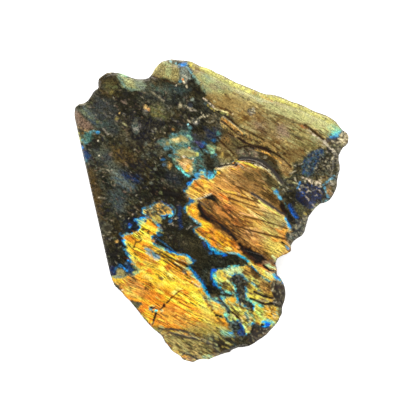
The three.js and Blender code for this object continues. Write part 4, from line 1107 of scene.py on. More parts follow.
# Its far shore, ragged with teal and cut by brown feldspar.
blot((BARK, TEAK, UMBER), 1.2, 30.5, 5, 34.5, 5, 37, 2, 38, -1, 35.5, -2.5, 33, -1.5, 31, 1, lean=-40)
blot(
    (NUT, TAN, MUD, BARK), 1.3, 20.5, 9, 25, 9.5, 29.5, 8.5, 36, 3, 38, 0, 37, -3, 33, -1, 23, 6.5,
    lean=-38
)
blot(
    (GRAPHITE, DRAB, PEAT), 1.3, 24, 20, 28, 18.5, 31, 16, 33.5, 13, 32, 10.5, 29.5, 11.5, 26.5, 15,
    lean=-45
)
blot((REED, DUNE, OLIVE), 1.2, 25.5, 0.5, 34, -4.5, 36, -7.5, 32, -8, 27, -4.5, lean=-35, strength=0.6)
dab(MARINE, 31.5, 9.5, 1.4, 1, -40, strength=1)
stripe(MIST, 0.9, 30.9, 8.5, 33.1, 7.4, strength=1)
for shade, x, y, *size in (
    (HAZE, 33.5, 6, 1.5, 0.9, -40), (LICHEN, 30.5, 10.5, 1.1, 0.8),
):
    dab(shade, x, y, *size, strength=1)
# The step across the far shore: a dark line along its wall, and under it a painted highlight on its lit
# edge.
stripe(TAR, 0.8, 19.6, 8.2, 22.6, 6.8, 34, -1.2, 37, -3, strength=1, gaps=0.2, rough=1)
stripe(LEMON, 0.6, 23, 4.6, 35.5, -4, gaps=0.2, strength=1)
for shade, width, *line in (
    (IRIS, 1.3, 36.8, -4.6, 39.1, -9.8), (HAZE, 0.8, 36.2, -4.2, 38.2, -9.4),
):
    stripe(shade, width, *line)
stripe(TAR, 0.9, 34.6, -16.2, 36.4, -17.4, 38.6, -19.6, sink=0.15)
dab(MARINE, 37, -18.5, 1.3, 0.6, -50, strength=1)

# Wedge of dark fracture above the notch, with bruised rock beside it.
blot(
    (SOOT, TAR, PITCH, WALNUT), 1.2, 14, -18, 16.5, -18, 19, -19, 26, -23, 28.5, -25, 30.5, -26, 27.5,
    -26, 22.5, -27, 21, -26.5, 15.5, -22, 13.5, -19.5, lean=-38, stretch=9, strength=1
)
blot((SAND, BUFF, UMBER), 0.6, 24.5, -25, 30.5, -25, 31, -27, 25, -27, rough=0.5)
for shade, width, *line in (
    (PALE, 1.3, 30, -22.8, 31.2, -24.2, 31.8, -25.8), (SUN, 1.9, 18.5, -26.5, 25.5, -30),
):
    stripe(shade, width, *line)
dab(PITCH, 31.2, -26.6, 0.8, 0.6, strength=1)
blot((SEA, PALE, SEA), 0.7, 26, -27, 28.5, -27, 31.5, -28.5, 31.5, -30, 26.5, -28, glow=0.6)
blot(
    (CORN, CITRON, PALE, PALE), 0.9, 21.5, -28, 25, -29, 28.5, -31, 31, -31.5, 31, -33.5, 30.5, -35, 28,
    -34.5, 25.5, -33, lean=-30, glow=1
)
stripe(SOOT, 1.4, 25.5, -27.5, 28, -29.5, 32, -31.5, strength=1, gaps=0.2)
stripe(SKY, 1.6, 30.5, -32, 31, -33, 33.5, -35, strength=1)
for shade, width, *line in (
    (BLUE, 1, 31.4, -32.6, 32.4, -33.8), (PEAT, 0.9, 32, -31.8, 34.8, -34.4),
):
    stripe(shade, width, *line)

# Right side: raw rock breaks through, with splinters of teal, azure and navy.
blot(
    (DUSK, DRAB, ROCK, WILLOW), 1.5, 43, 24, 47, 27, 60, 33, 70, 40, 72, 20, 64, 2, 54, -4, 50, -18, 41,
    -18, 38, -15, 38, -13, 40, -10, 38, -4, 39, 1, 34, 8, 34, 12, 41, 18, grain=0.8, stretch=1.6
)
for tints, soft, *outline in (
    ((LOAM, PEAT, GRAPHITE), 1.5, 37, 9, 42, 10, 42, 3, 40, 1, 37, 3),
    ((NAVY, INK, NAVY, DENIM), 0.9, 41.5, 9.5, 45, 8.5, 49, 6, 50, 3, 47, 1.5, 43.5, 3, 41.5, 6),
):
    blot(tints, soft, *outline)
for shade, x, y, *size in (
    (STONE, 56.5, 21.5, 2, 1, 20), (OCHRE, 55, 15.5, 2.4, 1.4, 20), (KHAKI, 38, 14.5, 1.4, 0.6, 20),
    (TAN, 58, 9, 1.4, 2.6, 20), (BRASS, 46, -1.5, 1, 0.9, 20),
):
    dab(shade, x, y, *size, rough=0.3)
for shade, width, *line in (
    (PEAR, 0.8, 28, 19.8, 30, 17.6, 33, 13.6, 34.4, 12.6), (FLAX, 0.7, 40, 13.6, 42, 13.1),
    (IRIS, 1.2, 42.4, 11, 43.6, 13.7), (SHELL, 0.7, 44.4, 16, 47, 15.5, 50, 13.4, 54.2, 13),
    (HAZE, 1.2, 55.2, 12.6, 56, 10, 57.6, 6.3), (IVORY, 0.9, 56.8, 13, 61.6, 14),
    (HAZE, 1.2, 56.7, 13.7, 60.3, 16.9), (MIST, 1.4, 54.5, 4, 57, 4.5),
    (SHELL, 0.7, 57, 29, 58.5, 28, 60, 28.8), (SHELL, 0.7, 58, 28.2, 60.5, 29.8, 62.6, 30.6),
    (SHELL, 0.7, 60.4, 29, 62.1, 27.4), (FERN, 0.7, 49.4, -1, 51, 1.4, 53.4, 3.4),
):
    stripe(shade, width, *line, rough=0.5)
RIGHT_FIELD = (34, 9, 37, 15, 42, 24, 48, 29, 56, 33, 64, 36, 67, 24, 63, 4, 52, -4, 44, -5, 39, -2)
strew((CHALK, PUTTY, IVORY), 80, 79, *RIGHT_FIELD, long=1.6, width=0.35, lean=-20, strength=0.75)
strew((SOOT, INK, LOAM), 90, 80, *RIGHT_FIELD, long=2, width=0.6, lean=-30)
blot(
    (PITCH, LOAM, SOOT), 0.8, 33.5, 5, 36.5, 2.5, 37.5, -1, 40, -4, 43.5, -6, 42.5, -7.5, 39.5, -7,
    35.5, -2.5, 33.5, 0.5, stretch=2
)
blot(
    (SHALE, POOL, PEWTER, DUSK, LOAM), 0.7, 41.5, -6.5, 45.5, -5, 50.5, -0.5, 47.5, -8, 46.5, -12, 38.5,
    -17, 38, -14, 40, -11, 40.5, -8.5, grain=0.6, stretch=1.4
)
blot((DUSK, POOL, SHALE), 0.7, 37, -11, 40.5, -11.5, 41, -14, 38, -15.5, 36.5, -13.5)
blot(
    (SOOT, NAVY, SOOT, DENIM, INK, IRON), 0.8, 44, 13.5, 48, 12.5, 53.5, 12, 56, 8.5, 53.5, 5, 50.5, 4,
    50.5, 0.5, 47.5, 1, 42, 7, grain=0.55, stretch=1.6, lean=-45, rough=0.3
)
for shade, width, *line in (
    (DENIM, 1.7, 38.5, 2.5, 42.5, -4), (BLUE, 1, 38, 2, 38.8, 0, 40.2, -2.2, 42, -4.2),
):
    stripe(shade, width, *line, gaps=0.2)
blot((MOSS, ROCK, MOSS), 0.8, 41.5, 3, 44.5, 2.5, 46, -0.5, 44.5, -3, 42.5, -1.5, strength=0.7)
blot(
    (TEAL, SLATE, TEAL, DENIM), 1, 44.5, 21, 45.5, 24.5, 48, 27.5, 51.5, 29.5, 54.5, 30, 56, 28.5, 54,
    26, 52, 21.5, 49.5, 18.5, 46.5, 16.5, 45, 18, grain=0.8, stretch=2, strength=0.7
)
blot((POOL, DENIM, POOL, SHALE), 1.4, 45, 18, 46, 25, 48, 28, 54, 30, 56, 28, 48, 17, lean=60, strength=0.6)
strew(
    (INK, SHALE, PEWTER, DENIM), 90, 97, 45, 18, 45.6, 24.6, 48, 28, 54, 30.4, 56, 28.4, 52, 21.6, 48,
    16.8, long=1.3, width=0.45, spread=90, strength=0.75
)
for shade, width, *line in (
    (LINEN, 0.7, 43, 10.6, 44.6, 9, 46.6, 6.4, 50.6, 2),
    (LINEN, 0.7, 43.4, 10.4, 45.6, 11.4, 47.4, 11.2, 48, 9.8, 46.8, 8.8),
    (LINEN, 0.7, 48, 14.4, 49.6, 13, 51.6, 12.4, 53, 11.6), (LINEN, 0.7, 45.4, 16, 54, 13.6),
    (LINEN, 0.7, 52, 10.4, 53.6, 9.4, 54.2, 8),
):
    stripe(shade, width, *line, rough=0.5)
stripe(SOOT, 0.8, 42.6, -5.4, 49.4, -1.2, gaps=0.2)
strew(
    (SOOT, STONE, PUTTY), 60, 110, 40, -5, 46, -4, 48, -8, 46, -12, 40, -15, 38, -13, 40, -9, long=1,
    width=0.5, spread=90, strength=0.9
)
strew(
    (SOOT, SHALE, STONE, WILLOW), 70, 93, 40, -5, 46, -4, 50, -1, 47, -9, 45, -13, 38, -16, 40, -10,
    long=1.4, width=0.4, spread=90, strength=0.8
)

strew(
    (SOOT, SOOT, NAVY, DENIM), 90, 111, 43, 13, 48, 13.6, 54, 12, 54, 5, 50, 3, 46, 4, 43, 8, long=1.1,
    width=0.4, spread=90, strength=0.85
)
strew(
    (SHELL, CHALK, PEWTER), 14, 112, 43, 13, 48, 13.6, 54, 12, 53, 7, 48, 5, 44, 8, long=1.2,
    width=0.28, lean=-30, spread=60, strength=0.9
)
strew(
    (PUTTY, STONE, CHALK), 60, 113, 54, 27, 61, 28, 63, 24, 62, 20, 56, 19, 50, 18, 52, 23, long=0.8,
    width=0.3, spread=90, strength=0.75
)
strew(
    (SOOT, COAL, PEAT), 60, 114, 54, 27, 61, 28, 63, 24, 62, 20, 56, 19, 50, 18, 52, 23, long=1.2,
    width=0.4, spread=90, strength=0.8
)

# The open joint at the corner, and the knob of cream crust beyond it.
blot((GRAPHITE, ROCK, GRAPHITE), 0.9, 57, 36, 64, 34.5, 65, 31, 62, 30.5, 59.5, 31.5, rough=0.3)
blot(
    (DUNE, BONE, IVORY, DUNE), 0.7, 62.5, 35.5, 64.5, 38.5, 66.5, 39.5, 70, 39, 70, 31, 66, 30.5, 64.5,
    31.5, grain=0.6, stretch=1.2, rough=0.8, strength=1
)
strew(
    (GRAPHITE, DRAB, PEAT), 40, 94, 60, 33, 63, 37, 66, 39, 68.4, 37, 68, 33, 65, 30, long=1.3,
    width=0.5, spread=90, strength=0.8, rough=0.5
)
strew(
    (CREAM, LINEN), 22, 95, 62, 33, 64, 38, 67, 39, 68.4, 36, 67, 31, long=1.1, width=0.35, spread=90,
    strength=0.8, rough=0.5
)
for shade, x, y, *size in (
    (LEATHER, 66.5, 34, 0.9, 0.7), (DRAB, 64.4, 36, 0.7, 0.6),
):
    dab(shade, x, y, *size, rough=0.5, sink=0.15, strength=1)
stripe(BARK, 1.3, 45.8, 41.9, 49, 39.9, 54, 36, sink=0.15)
stripe(PEAT, 1.5, 54, 36, 58, 30.5, sink=0.25)
blot((SOOT, LOAM), 0.4, 56.5, 31, 57.5, 31.5, 59.5, 30, 59.5, 28.5, 57.5, 28.5)
for shade, width, *line in (
    (SHELL, 0.7, 49.8, 37.6, 54, 35, 57, 32, 59.6, 29.9), (SHELL, 0.6, 55.8, 34.6, 58.5, 30.7, 60.2, 30),
    (BONE, 0.8, 59.4, 34.4, 61.6, 33.2, 63.4, 33.8),
):
    stripe(shade, width, *line, rough=0.5)
stripe(FLAX, 0.7, 60, 32.4, 62.4, 31.4, 64.6, 32.4, strength=0.7, rough=0.5)

# Lower flash, the brightest: gold streaming to orange, with a blue shore on both sides.
LOWER_SHADES = (
    (206, 120, 34), (234, 148, 42), (246, 178, 48), (250, 204, 54), (250, 224, 70), (240, 232, 96)
)
LOWER_OUTLINE = (
    -38.4, -5, -36, -4, -33, -3.4, -30.5, -3.8, -28, -5.5, -26, -7.5, -25.4, -10.5, -27, -12.4, -29.4,
    -14, -28, -15.2, -28, -16.8, -26, -18.3, -22, -19.6, -18, -21.3, -11.6, -22.6, -10.2, -24.3, -9.8,
    -26, -11.2, -27.2, -11.4, -28.4, -9.7, -30.4, -5.2, -36.5, -4, -39.1, -2.3, -41.6, -1.6, -43.4, 4,
    -46, 7, -48, 8.4, -50.5, 7, -53, 10, -57, 11, -60, 11, -64, 12, -80, -40, -80, -62, -40, -53, -33,
    -46, -33.8, -43, -33.2, -41, -31.8, -39, -31, -37.4, -29.6, -42, -25, -41.8, -23, -42.6, -21, -43.2,
    -18.5, -44.4, -15, -44.2, -12.6, -42, -11.6, -39.4, -11.6, -38, -10.2, -37, -8, -37.4, -6.4
)
flash(LOWER_SHADES, LOWER_OUTLINE, bare=(-52, -35, -48, -35.4, -44, -34.4), rim=1.35, lean=-27, fray=1.2)
blot(
    (GOLD, YELLOW, CITRON, LEMON), 2, -38, -24, -24, -25, -16, -30, -9, -36, -6, -41, -10, -44, -20,
    -40, -28, -39, -36, -33, -38, -28, lean=-27, glow=1, grain=1.3, stretch=3, strength=0.6
)
blot(
    (CLAY, HONEY, CARAMEL, CORN), 2, -48, -36, -42, -35, -35, -37, -31, -40, -33, -44, -38, -44, -44,
    -42, lean=-30, glow=0.8, grain=0.8, stretch=2.5, strength=0.6
)
blot(
    (COPAL, ORANGE, AMBER), 1.4, -34, -40, -29, -39, -27, -43, -34, -49, -36, -46, -33, -44, lean=-27,
    glow=1, strength=0.7
)
blot(
    (COPAL, APRICOT, WHEAT), 2.2, -27, -48, -20, -47, -2, -57, -4, -60, -12, -60, -20, -58, -28, -57,
    lean=-24, glow=1, grain=1.2, strength=0.7
)
blot(
    (BRASS, CORN, CORN), 2, -4, -47, 2, -52, 3, -56, -1, -58, -6, -54, -8, -50, lean=-27, glow=1,
    strength=0.6
)
blot(
    (TAN, CLAY, COPAL), 1.3, -43.5, -34, -40, -32, -33, -38.5, -35, -39.5, -43.5, -37.5, lean=-38,
    glow=0.7
)
blot(
    (DUNE, KHAKI, FOG), 0.8, -47.5, -30, -46, -29, -43.5, -30, -43, -31.5, -43.5, -33.5, -46, -34, -49,
    -34, lean=-20, glow=0.5, strength=1
)
stripe(LEAF, 0.9, -50.4, -33, -49, -33.1, -47.6, -32.6)
blot((NAVY, NAVY, DENIM), 0.7, -51.5, -28.5, -49, -27.5, -48, -29, -47.5, -31.5, -49, -32.5, -51, -32)
dab(NAVY, -49, -32, 1.1, 0.6, strength=1)
stripe(PETROL, 1.4, -48.5, -30.5, -48, -29, -46.5, -28)
dab(PETROL, -45.5, -27.5, 1.3, 0.6, -30, strength=1)
blot((PETROL, DENIM, SLATE), 0.8, -43.5, -27, -41.5, -26.5, -39, -29.5, -40, -31, -42, -31)
stripe(IRIS, 1.2, -45.6, -27.8, -42.2, -30.1, strength=1)
stripe(LEMON, 1.5, -39, -31, -34, -30, strength=0.7)

# The left shore and the lobe at its head.
stripe(HAZE, 1.8, -37, -5, -31.5, -3.5)
blot((SEA, LEAF, SEA), 0.8, -37, -7.5, -36.5, -5, -33.5, -4.5, -33, -6.5, -35, -7.5, lean=-35)
stripe(LEAF, 1.4, -31, -4.5, -27, -7.5)
stripe(TAR, 0.7, -32, -4.2, -26, -9.1, sink=0.15)
dab(PETROL, -26.5, -12.5, 1.4, 0.8, strength=1)
stripe(WALNUT, 1.4, -34.5, -9.5, -32, -10.5, -28, -13, sink=0.15)
stripe(UMBER, 0.7, -36.5, -13, -35, -14.5, -36, -15.7, -38, -16, -39, -18.6, gaps=0.2)
for shade, width, *line in (
    (MIST, 1, -44.2, -12.6, -42, -11.9, -40, -12), (IRIS, 1.2, -45.7, -11.8, -44.3, -13.1),
    (PEAT, 0.8, -43.2, -16.4, -40.4, -18.1), (SOOT, 1.1, -46, -17, -42.4, -18.6),
    (MARINE, 1.2, -44.2, -18.9, -43.1, -20.2, -42.5, -21.7),
):
    stripe(shade, width, *line)
for shade, x, y, *size in (
    (LIME, -38.5, -11.5, 0.9, 0.6), (IRIS, -41.7, -25, 0.7, 0.7), (SLATE, -42.6, -26.4, 0.8, 0.7),
):
    dab(shade, x, y, *size, strength=1)
for shade, x, y, *size in (
    (GOLD, -36, -11.5, 1.5, 0.8, -27), (RUST, -37.5, -25.5, 2, 0.5, -27), (SUN, -32, -14.5, 2.2, 1.4, -27),
    (APRICOT, -29.5, -15, 1, 0.8, -27), (YELLOW, -25.5, -26, 3.2, 1.4, -27),
    (RUSSET, -22, -28.5, 1.4, 1.4, -27), (RUSSET, -35, -27, 1.6, 0.6, -27),
    (ORANGE, -31, -30, 1.6, 0.7, -27), (CITRON, -25, -29, 1.8, 0.9, -27), (CITRON, -26, -40.5, 2, 0.9, -27),
    (CORN, -41, -39.5, 2.2, 1, -27), (AMBER, -15.5, -44, 2.4, 1, -27), (ORANGE, -13, -41, 2, 0.8, -27),
    (ORANGE, -11, -31, 1.3, 0.8, -27), (CITRON, -8.5, -41.5, 2, 1.1, -27),
    (LEMON, -21, -32.5, 1.6, 0.9, -27),
):
    dab(shade, x, y, *size)

LOBE_SHADES = ((186, 150, 86), (206, 170, 90), (226, 178, 76), (238, 184, 68))
LOBE_OUTLINE = (
    -34.6, 0.6, -31, 1.5, -29, 2.8, -26, 4.1, -24.5, 3.9, -21.5, 2, -20.2, 0.9, -19.4, -0.5, -19.2,
    -1.9, -20.2, -2.9, -22.5, -2.5, -24.5, -3.4, -25.5, -3, -26.5, -1.9, -28, -1, -30, -1.6, -32, -2.9,
    -34.4, -2.4, -35.2, -1
)
flash(LOBE_SHADES, LOBE_OUTLINE, rim=1.0, lean=-35, fray=0.6)
blot(
    (HONEY, WHEAT, CLAY), 0.8, -29, 2, -26, 4.5, -22.5, 2.5, -20, 0, -20.5, -2, -23, -1.5, -25, -3, -28,
    -1.5, lean=-30, stretch=3, glow=0.8
)
blot(
    (BRASS, CORN, CARAMEL), 0.7, -31.5, -2, -28, -1.5, -25.5, -3.5, -25, -6.5, -27.5, -6.5, -30, -4.5,
    lean=-32, stretch=3, glow=0.7
)
blot((DUNE, CHALK, KHAKI), 0.8, -33, 0.5, -29.5, 2, -27.5, 0, -30, -1.5, -33, -2, lean=-35, strength=0.7)
for shade, width, *line in (
    (MARINE, 1.1, -34.4, 0.8, -32, 1.3, -28.4, 3.4),
    (LAGOON, 1, -20.6, 2.4, -19.3, 1.2, -18.5, 0, -18.6, -2, -19.8, -3.3),
    (MARINE, 1, -38.5, -5, -35.9, -4.2),
):
    stripe(shade, width, *line)
for shade, x, y, *size in (
    (CYAN, -21, -3.2, 0.7, 0.5), (LAGOON, -24, -4, 1.1, 0.6), (PETROL, -21, -5.5, 1, 0.9),
    (DENIM, -33, -5.4, 0.5, 0.5),
):
    dab(shade, x, y, *size, strength=1)
for shade, width, *line in (
    (PUTTY, 0.6, -20, -4, -19, -4.5, -18, -4.2), (PUTTY, 0.6, -21.5, -7, -20, -6.7, -19.2, -7.4),
    (PUTTY, 0.6, -12.6, -9.4, -10.5, -8, -9.4, -8.4), (PUTTY, 0.6, -27.6, -6.4, -26, -8, -25, -9.6),
):
    stripe(shade, width, *line, rough=0.5)
blot((GRAPHITE, ROCK, DRAB), 2, -17, -13, -9, -14, -8, -18, -14, -19, -18, -16, strength=0.6)

# A pale blue lens, and the fine steps along the lower flash's upper shore.
blot(
    (FOG, RAIN, RAIN), 0.6, -34, -19, -32, -18.5, -30, -19.5, -25.5, -23.5, -26, -24.5, -29, -24, -33,
    -21, strength=1
)
stripe(IVORY, 0.8, -33.8, -20.6, -28.4, -24.5, -27, -24.9)
dab(LAGOON, -29, -22, 1.6, 0.8, -40, strength=1)
for shade, width, *line in (
    (APRICOT, 1.6, -33.5, -17.5, -25, -20.5), (COPPER, 0.6, -34.4, -17.9, -31, -18.5, -29, -19.4),
):
    stripe(shade, width, *line)
stripe(WALNUT, 1, -28.2, -21.4, -25.5, -22.5, -17, -27.9, -14, -30.4, -12.6, -32, strength=1, gaps=0.2)
stripe(COCOA, 0.8, -27.4, -20.4, -25, -21.2, -17.6, -25.4, gaps=0.2)
stripe(TEAK, 0.6, -24, -24.9, -15.6, -30.6, gaps=0.4)
for shade, width, *line in (
    (PETROL, 0.7, -28, -14, -25, -15.6, -19, -20.4, -16.4, -22), (SEA, 0.9, -28.2, -17, -22, -20.2),
    (BRASS, 0.9, -26.2, -20, -23, -21, -20, -21.6, -17.8, -22.5), (COPPER, 0.7, -23.2, -20.4, -18.8, -22.6),
    (BUTTER, 1.3, -17.4, -24.2, -14, -25.4),
):
    stripe(shade, width, *line)
blot((LEAF, PALE), 0.6, -14, -23, -11, -23.5, -10.5, -26, -13, -26.5, lean=-30, glow=0.9)
stripe(AZURE, 1.2, -17, -21.9, -13, -22.4, -11.5, -23.3, -9.9, -26.2, strength=1)
dab(PETROL, -9.5, -25, 1.2, 0.9, strength=1)
stripe(PRIMROSE, 0.6, -18.6, -26, -14, -28.5)
stripe(COCOA, 1.3, -17.4, -25.4, -15.2, -26.1, -13.5, -27, -12.8, -27.7, strength=1, gaps=0.2)
stripe(SOOT, 1.1, -12.8, -27.6, -5.8, -29.6, strength=1, sink=0.15)
dab(DRAB, -14, -30.5, 1, 1, rough=0.3, sink=0.15, strength=1)

# Its right shore, from the black joint down to the foot.
stripe(AZURE, 1.4, -11, -28.5, -4.5, -37, -4, -38.5, -3, -39.5, -2, -42)
stripe(COBALT, 1.1, -9.2, -30.6, -7.8, -32.4, -4.4, -35.4, -3.6, -37.4, strength=0.6)
stripe(PALE, 1, -12.2, -29, -9.4, -33, -6.4, -36.6, -5.6, -38.2, strength=0.7)
stripe(EMBER, 0.8, -13.6, -34.4, -10, -36.3)
stripe(BRICK, 0.8, -10.2, -36.2, -7, -38.2, strength=1, sink=0.15)
stripe(CREAM, 1, -9.8, -35.6, -6.4, -38)
for shade, x, y, *size in (
    (EMBER, -15, -40, 1.4, 0.5), (LEMON, -19, -41, 1.6, 1.1),
):
    dab(shade, x, y, *size, strength=1)
blot(
    (LIME, PRIMROSE, LIME), 0.9, -6.5, -40.5, -4.5, -42, -2.5, -44.5, 0, -45, 3.5, -46.5, 4, -49.5, 2,
    -50.5, -0.5, -48.5, -5, -43.5, lean=-50, glow=0.9, strength=0.7
)
stripe(STRAW, 0.6, -2.6, -45, -1, -46.5, 1.2, -49.6)
stripe(NUT, 0.7, -7, -39.9, -3.8, -43.5, -3, -45.5, 0, -49.6, 1.4, -51, strength=0.7, sink=0.15)
dab(OLIVE, -3.5, -43.5, 0.9, 1.1, sink=0.15, strength=1)
dab(TAN, -1.8, -47.5, 0.7, 0.7, strength=1)
stripe(BRICK, 1, 0.2, -50.2, 2.2, -52.1, strength=1, sink=0.15)
blot((FAWN, WHEAT, LEAF), 0.9, 4, -47, 6.5, -48, 8, -51, 5.5, -52, 3.5, -51.5, 3, -49.5, lean=-50, glow=0.8)
stripe(TAR, 1, 2, -52.2, 4.6, -52.9, strength=1, sink=0.15)
dab(SOOT, 4.5, -53, 1.1, 0.7, -20, sink=0.3, strength=1)
dab(SOOT, 2.1, -52.3, 0.7, 0.6, strength=1)
stripe(UMBER, 0.9, 2.6, -53.7, 5.6, -56.6, sink=0.15)
dab(AMBER, 5.5, -54.5, 1.3, 0.9, -30, strength=1)
for shade, width, *line in (
    (ORANGE, 0.7, -14, -50.5, -10, -52.3, -7, -54), (CARAMEL, 1.1, -15.4, -54.2, -9, -57.4, -6, -58.6),
    (APRICOT, 0.8, -15, -46.2, -6, -50.6), (RUSSET, 0.8, -33.6, -29.4, -29, -31.6),
    (APRICOT, 0.7, -20, -30.6, -16, -32.6, -13.6, -34.4), (APRICOT, 0.7, -22, -33.6, -17, -35.4, -12, -38),
    (ORANGE, 0.8, -40, -26.6, -37.6, -27.4, -36, -28.6), (LEMON, 0.8, -23, -31, -18, -33, -14, -36),
    (COPAL, 0.6, -30.6, -20.6, -29, -26, -26, -27.6),
):
    stripe(shade, width, *line, strength=0.7)
strew(
    (EMBER, BRONZE, COPPER), 120, 81, *LOWER_OUTLINE, long=5, width=0.35, lean=-24, spread=9,
    strength=0.65
)
strew((LEMON, CITRON, LEMON), 110, 82, *LOWER_OUTLINE, long=3, width=0.4, lean=-27, spread=10, strength=0.6)

# Joints, pits and chips in the lower flash.
strew(
    (ROCK, GRAPHITE, DRAB, POOL), 60, 118, -36, -1, -32, 2.6, -27, 4.4, -22, 3.4, -21, -0.4, -26, -2,
    -31, -4.6, -35, -3.6, long=1.4, width=0.45, lean=-30, spread=60, strength=0.8
)
stripe(BARK, 1.3, -37.4, -49.4, -33, -54, rough=1)
for shade, width, *line in (
    (WALNUT, 0.8, -28, -51.4, -29.6, -56.6), (WALNUT, 0.8, -25.6, -49.4, -24.5, -48.2, -24.1, -47.2),
    (WALNUT, 0.8, -22.6, -46.1, -21.6, -45.1),
):
    stripe(shade, width, *line, strength=1, gaps=0.2)
stripe(BRICK, 0.6, -21.6, -45.1, -20.4, -43.6, -16.4, -40.4, gaps=0.2)
for shade, x, y, *size in (
    (TAR, -28, -51.4, 0.6, 0.8), (COCOA, -24, -47.5, 0.6, 0.9),
):
    dab(shade, x, y, *size, strength=1)
stripe(LIME, 0.7, -31.4, -48, -30, -47.4, -28.6, -47.6)
for shade, x, y, *size in (
    (MIST, -30.5, -49, 0.9, 0.8), (SOOT, -29.5, -48.5, 1.2, 0.6, -20), (CYAN, -28, -50, 1.1, 0.7),
    (DUSK, -29.6, -50.4, 0.6, 0.6), (PRIMROSE, -25, -50, 0.9, 0.6), (RUST, -18, -52.5, 0.9, 0.7),
):
    dab(shade, x, y, *size, strength=1)
stripe(SIENNA, 0.7, -25.5, -51, -23.5, -52.5, -22, -52.7)
for shade, x, y, *size in (
    (CAMEL, -25.5, -34, 1.2, 0.8, -20), (COPPER, -33.2, -38.6, 0.7),
):
    dab(shade, x, y, *size, sink=0.15, strength=1)
for tints, soft, *outline in (
    ((ROCK, MOSS, TAUPE), 0.5, -50.5, -35, -49, -35.5, -47.5, -37, -46, -37.5, -44, -43, -46, -44, -52,
    -38), ((DRAB, MOSS, ROCK), 0.5, -41, -45, -35, -46, -35, -47, -37.5, -49, -38, -51, -42, -48),
):
    blot(tints, soft, *outline, strength=1, rough=0.8)
dab(CREAM, -44.8, -39.8, 0.8, 0.5, strength=1)
stripe(TAR, 1, -41.4, -44.9, -35.3, -46.2, sink=0.15)
for shade, x, y, *size in (
    (ORANGE, -33.5, -48, 1.8, 0.7, -20), (RUSSET, -35, -50, 1.4, 0.6, -20),
):
    dab(shade, x, y, *size, strength=1)
stripe(CITRON, 1.1, -35, -52, -31.4, -55.2, -30, -55.8)
stripe(PITCH, 1, -35.2, -53, -32.2, -55.6, -31, -57, rough=0.5)

# Third flash, a curl round a dark channel towards the lower right.
CURL_SHADES = (
    (196, 158, 60), (218, 184, 74), (226, 206, 88), (214, 216, 100), (206, 222, 116), (226, 226, 120)
)
CURL_OUTLINE = (
    0.2, -31.2, 1.2, -30, 7, -28.9, 8, -28.2, 10, -27.8, 13, -27.7, 15, -27.9, 18.5, -28.6, 26, -35,
    28.6, -36.8, 28.5, -38.5, 30.4, -42, 30.4, -44.5, 28.4, -46, 33.2, -49.2, 34.2, -52, 33.4, -54.6,
    31.2, -57.4, 28.5, -58.5, 25, -58.2, 24, -59, 22, -57.6, 20.6, -57.2, 20, -58.4, 20, -61, 17, -62,
    15.8, -61, 14.2, -57.2, 12.8, -55.6, 10.4, -56.3, 8, -55.6, 6.6, -53, 8, -50.5, 5.2, -44.2, 4.4,
    -43.4, 5, -42.9, 7, -43.2, 9.6, -42, 4, -39.2, 1.3, -36.8, 0.3, -35, -0.2, -33
)
CHANNEL = (
    8.5, -34, 9.5, -33.1, 11, -32.4, 13, -31.9, 14.5, -32.6, 17.4, -35.9, 17, -36.8, 16, -38, 16, -39.5,
    16.6, -41, 16.2, -42.5, 17, -44, 21, -47.9, 18, -48.9, 17.4, -47.8, 15, -47, 13.2, -46, 13.1, -42,
    12, -40.5, 11, -37, 8.5, -34.9
)
CURL_BARE = (
    16.5, -27.6, 20, -29.6, 23.5, -32.8, 28.8, -36.8, 30.8, -41, 30.8, -44, 29.4, -46, 31.6, -47, 34,
    -49.6, 34.8, -53, 32, -57
)
flash(CURL_SHADES, CURL_OUTLINE, (CHANNEL,), CURL_BARE, rim=1.25, lean=-38, fray=1.2)
blot(
    (LOAM, GRAPHITE, ROCK, SHALE), 0.5, 8.5, -34, 9.5, -33, 13, -32, 14.5, -32.5, 17.5, -36, 16, -38,
    16.5, -41, 16, -42.5, 17, -44, 21, -48, 18, -49, 17.5, -48, 13, -46, 13, -42, 12, -40.5, 11, -37,
    8.5, -35, strength=1, grain=0.7, stretch=1.5
)
blot(
    (GOLD, WHEAT, LEMON), 1, 3.5, -31, 7.5, -30.5, 8, -33, 7, -35, 4, -33.5, 2.5, -32, lean=-50,
    glow=0.9, strength=0.7
)
blot(
    (TAN, CARAMEL, TAN), 1, 15.5, -29.5, 18.5, -29, 23, -33.5, 21.5, -34.5, 15.5, -31.5, lean=-40,
    glow=0.6
)
blot((WALNUT, PEAT, TEAK), 0.6, 19, -28.5, 22.5, -31, 24, -33, 23.5, -34.5, 22, -34, 19, -30, lean=-40)
blot(
    (LEATHER, TAN, CLAY, CAMEL), 0.9, 23, -36, 26, -36, 29, -38, 29.5, -40.5, 26, -41.5, 23.5, -40,
    lean=-30, glow=0.5
)
blot((BRASS, OCHRE, MALT), 0.9, 21.5, -34, 24.5, -34, 28, -36.5, 26.5, -37.5, 23, -36.5, lean=-38, glow=0.8)
dab(FOG, 23, -40, 1, 0.7, strength=1)
for tints, soft, *outline in (
    ((CORN, CORN, CITRON), 0.7, 17, -43, 19.5, -41, 21, -41, 23, -42, 24.5, -43.5, 22, -44, 19, -44),
    ((AMBER, GOLD, APRICOT), 1, 25.5, -49, 29.5, -48.5, 33, -50, 33, -53, 31, -55, 27, -54, 25.5, -52),
):
    blot(tints, soft, *outline, lean=-35, glow=1)
blot(
    (WHEAT, AMBER, CORN), 0.9, 7, -43.5, 10, -42.5, 12, -43.5, 12.5, -45.5, 9.5, -45.5, 7, -45,
    lean=-40, glow=0.9
)
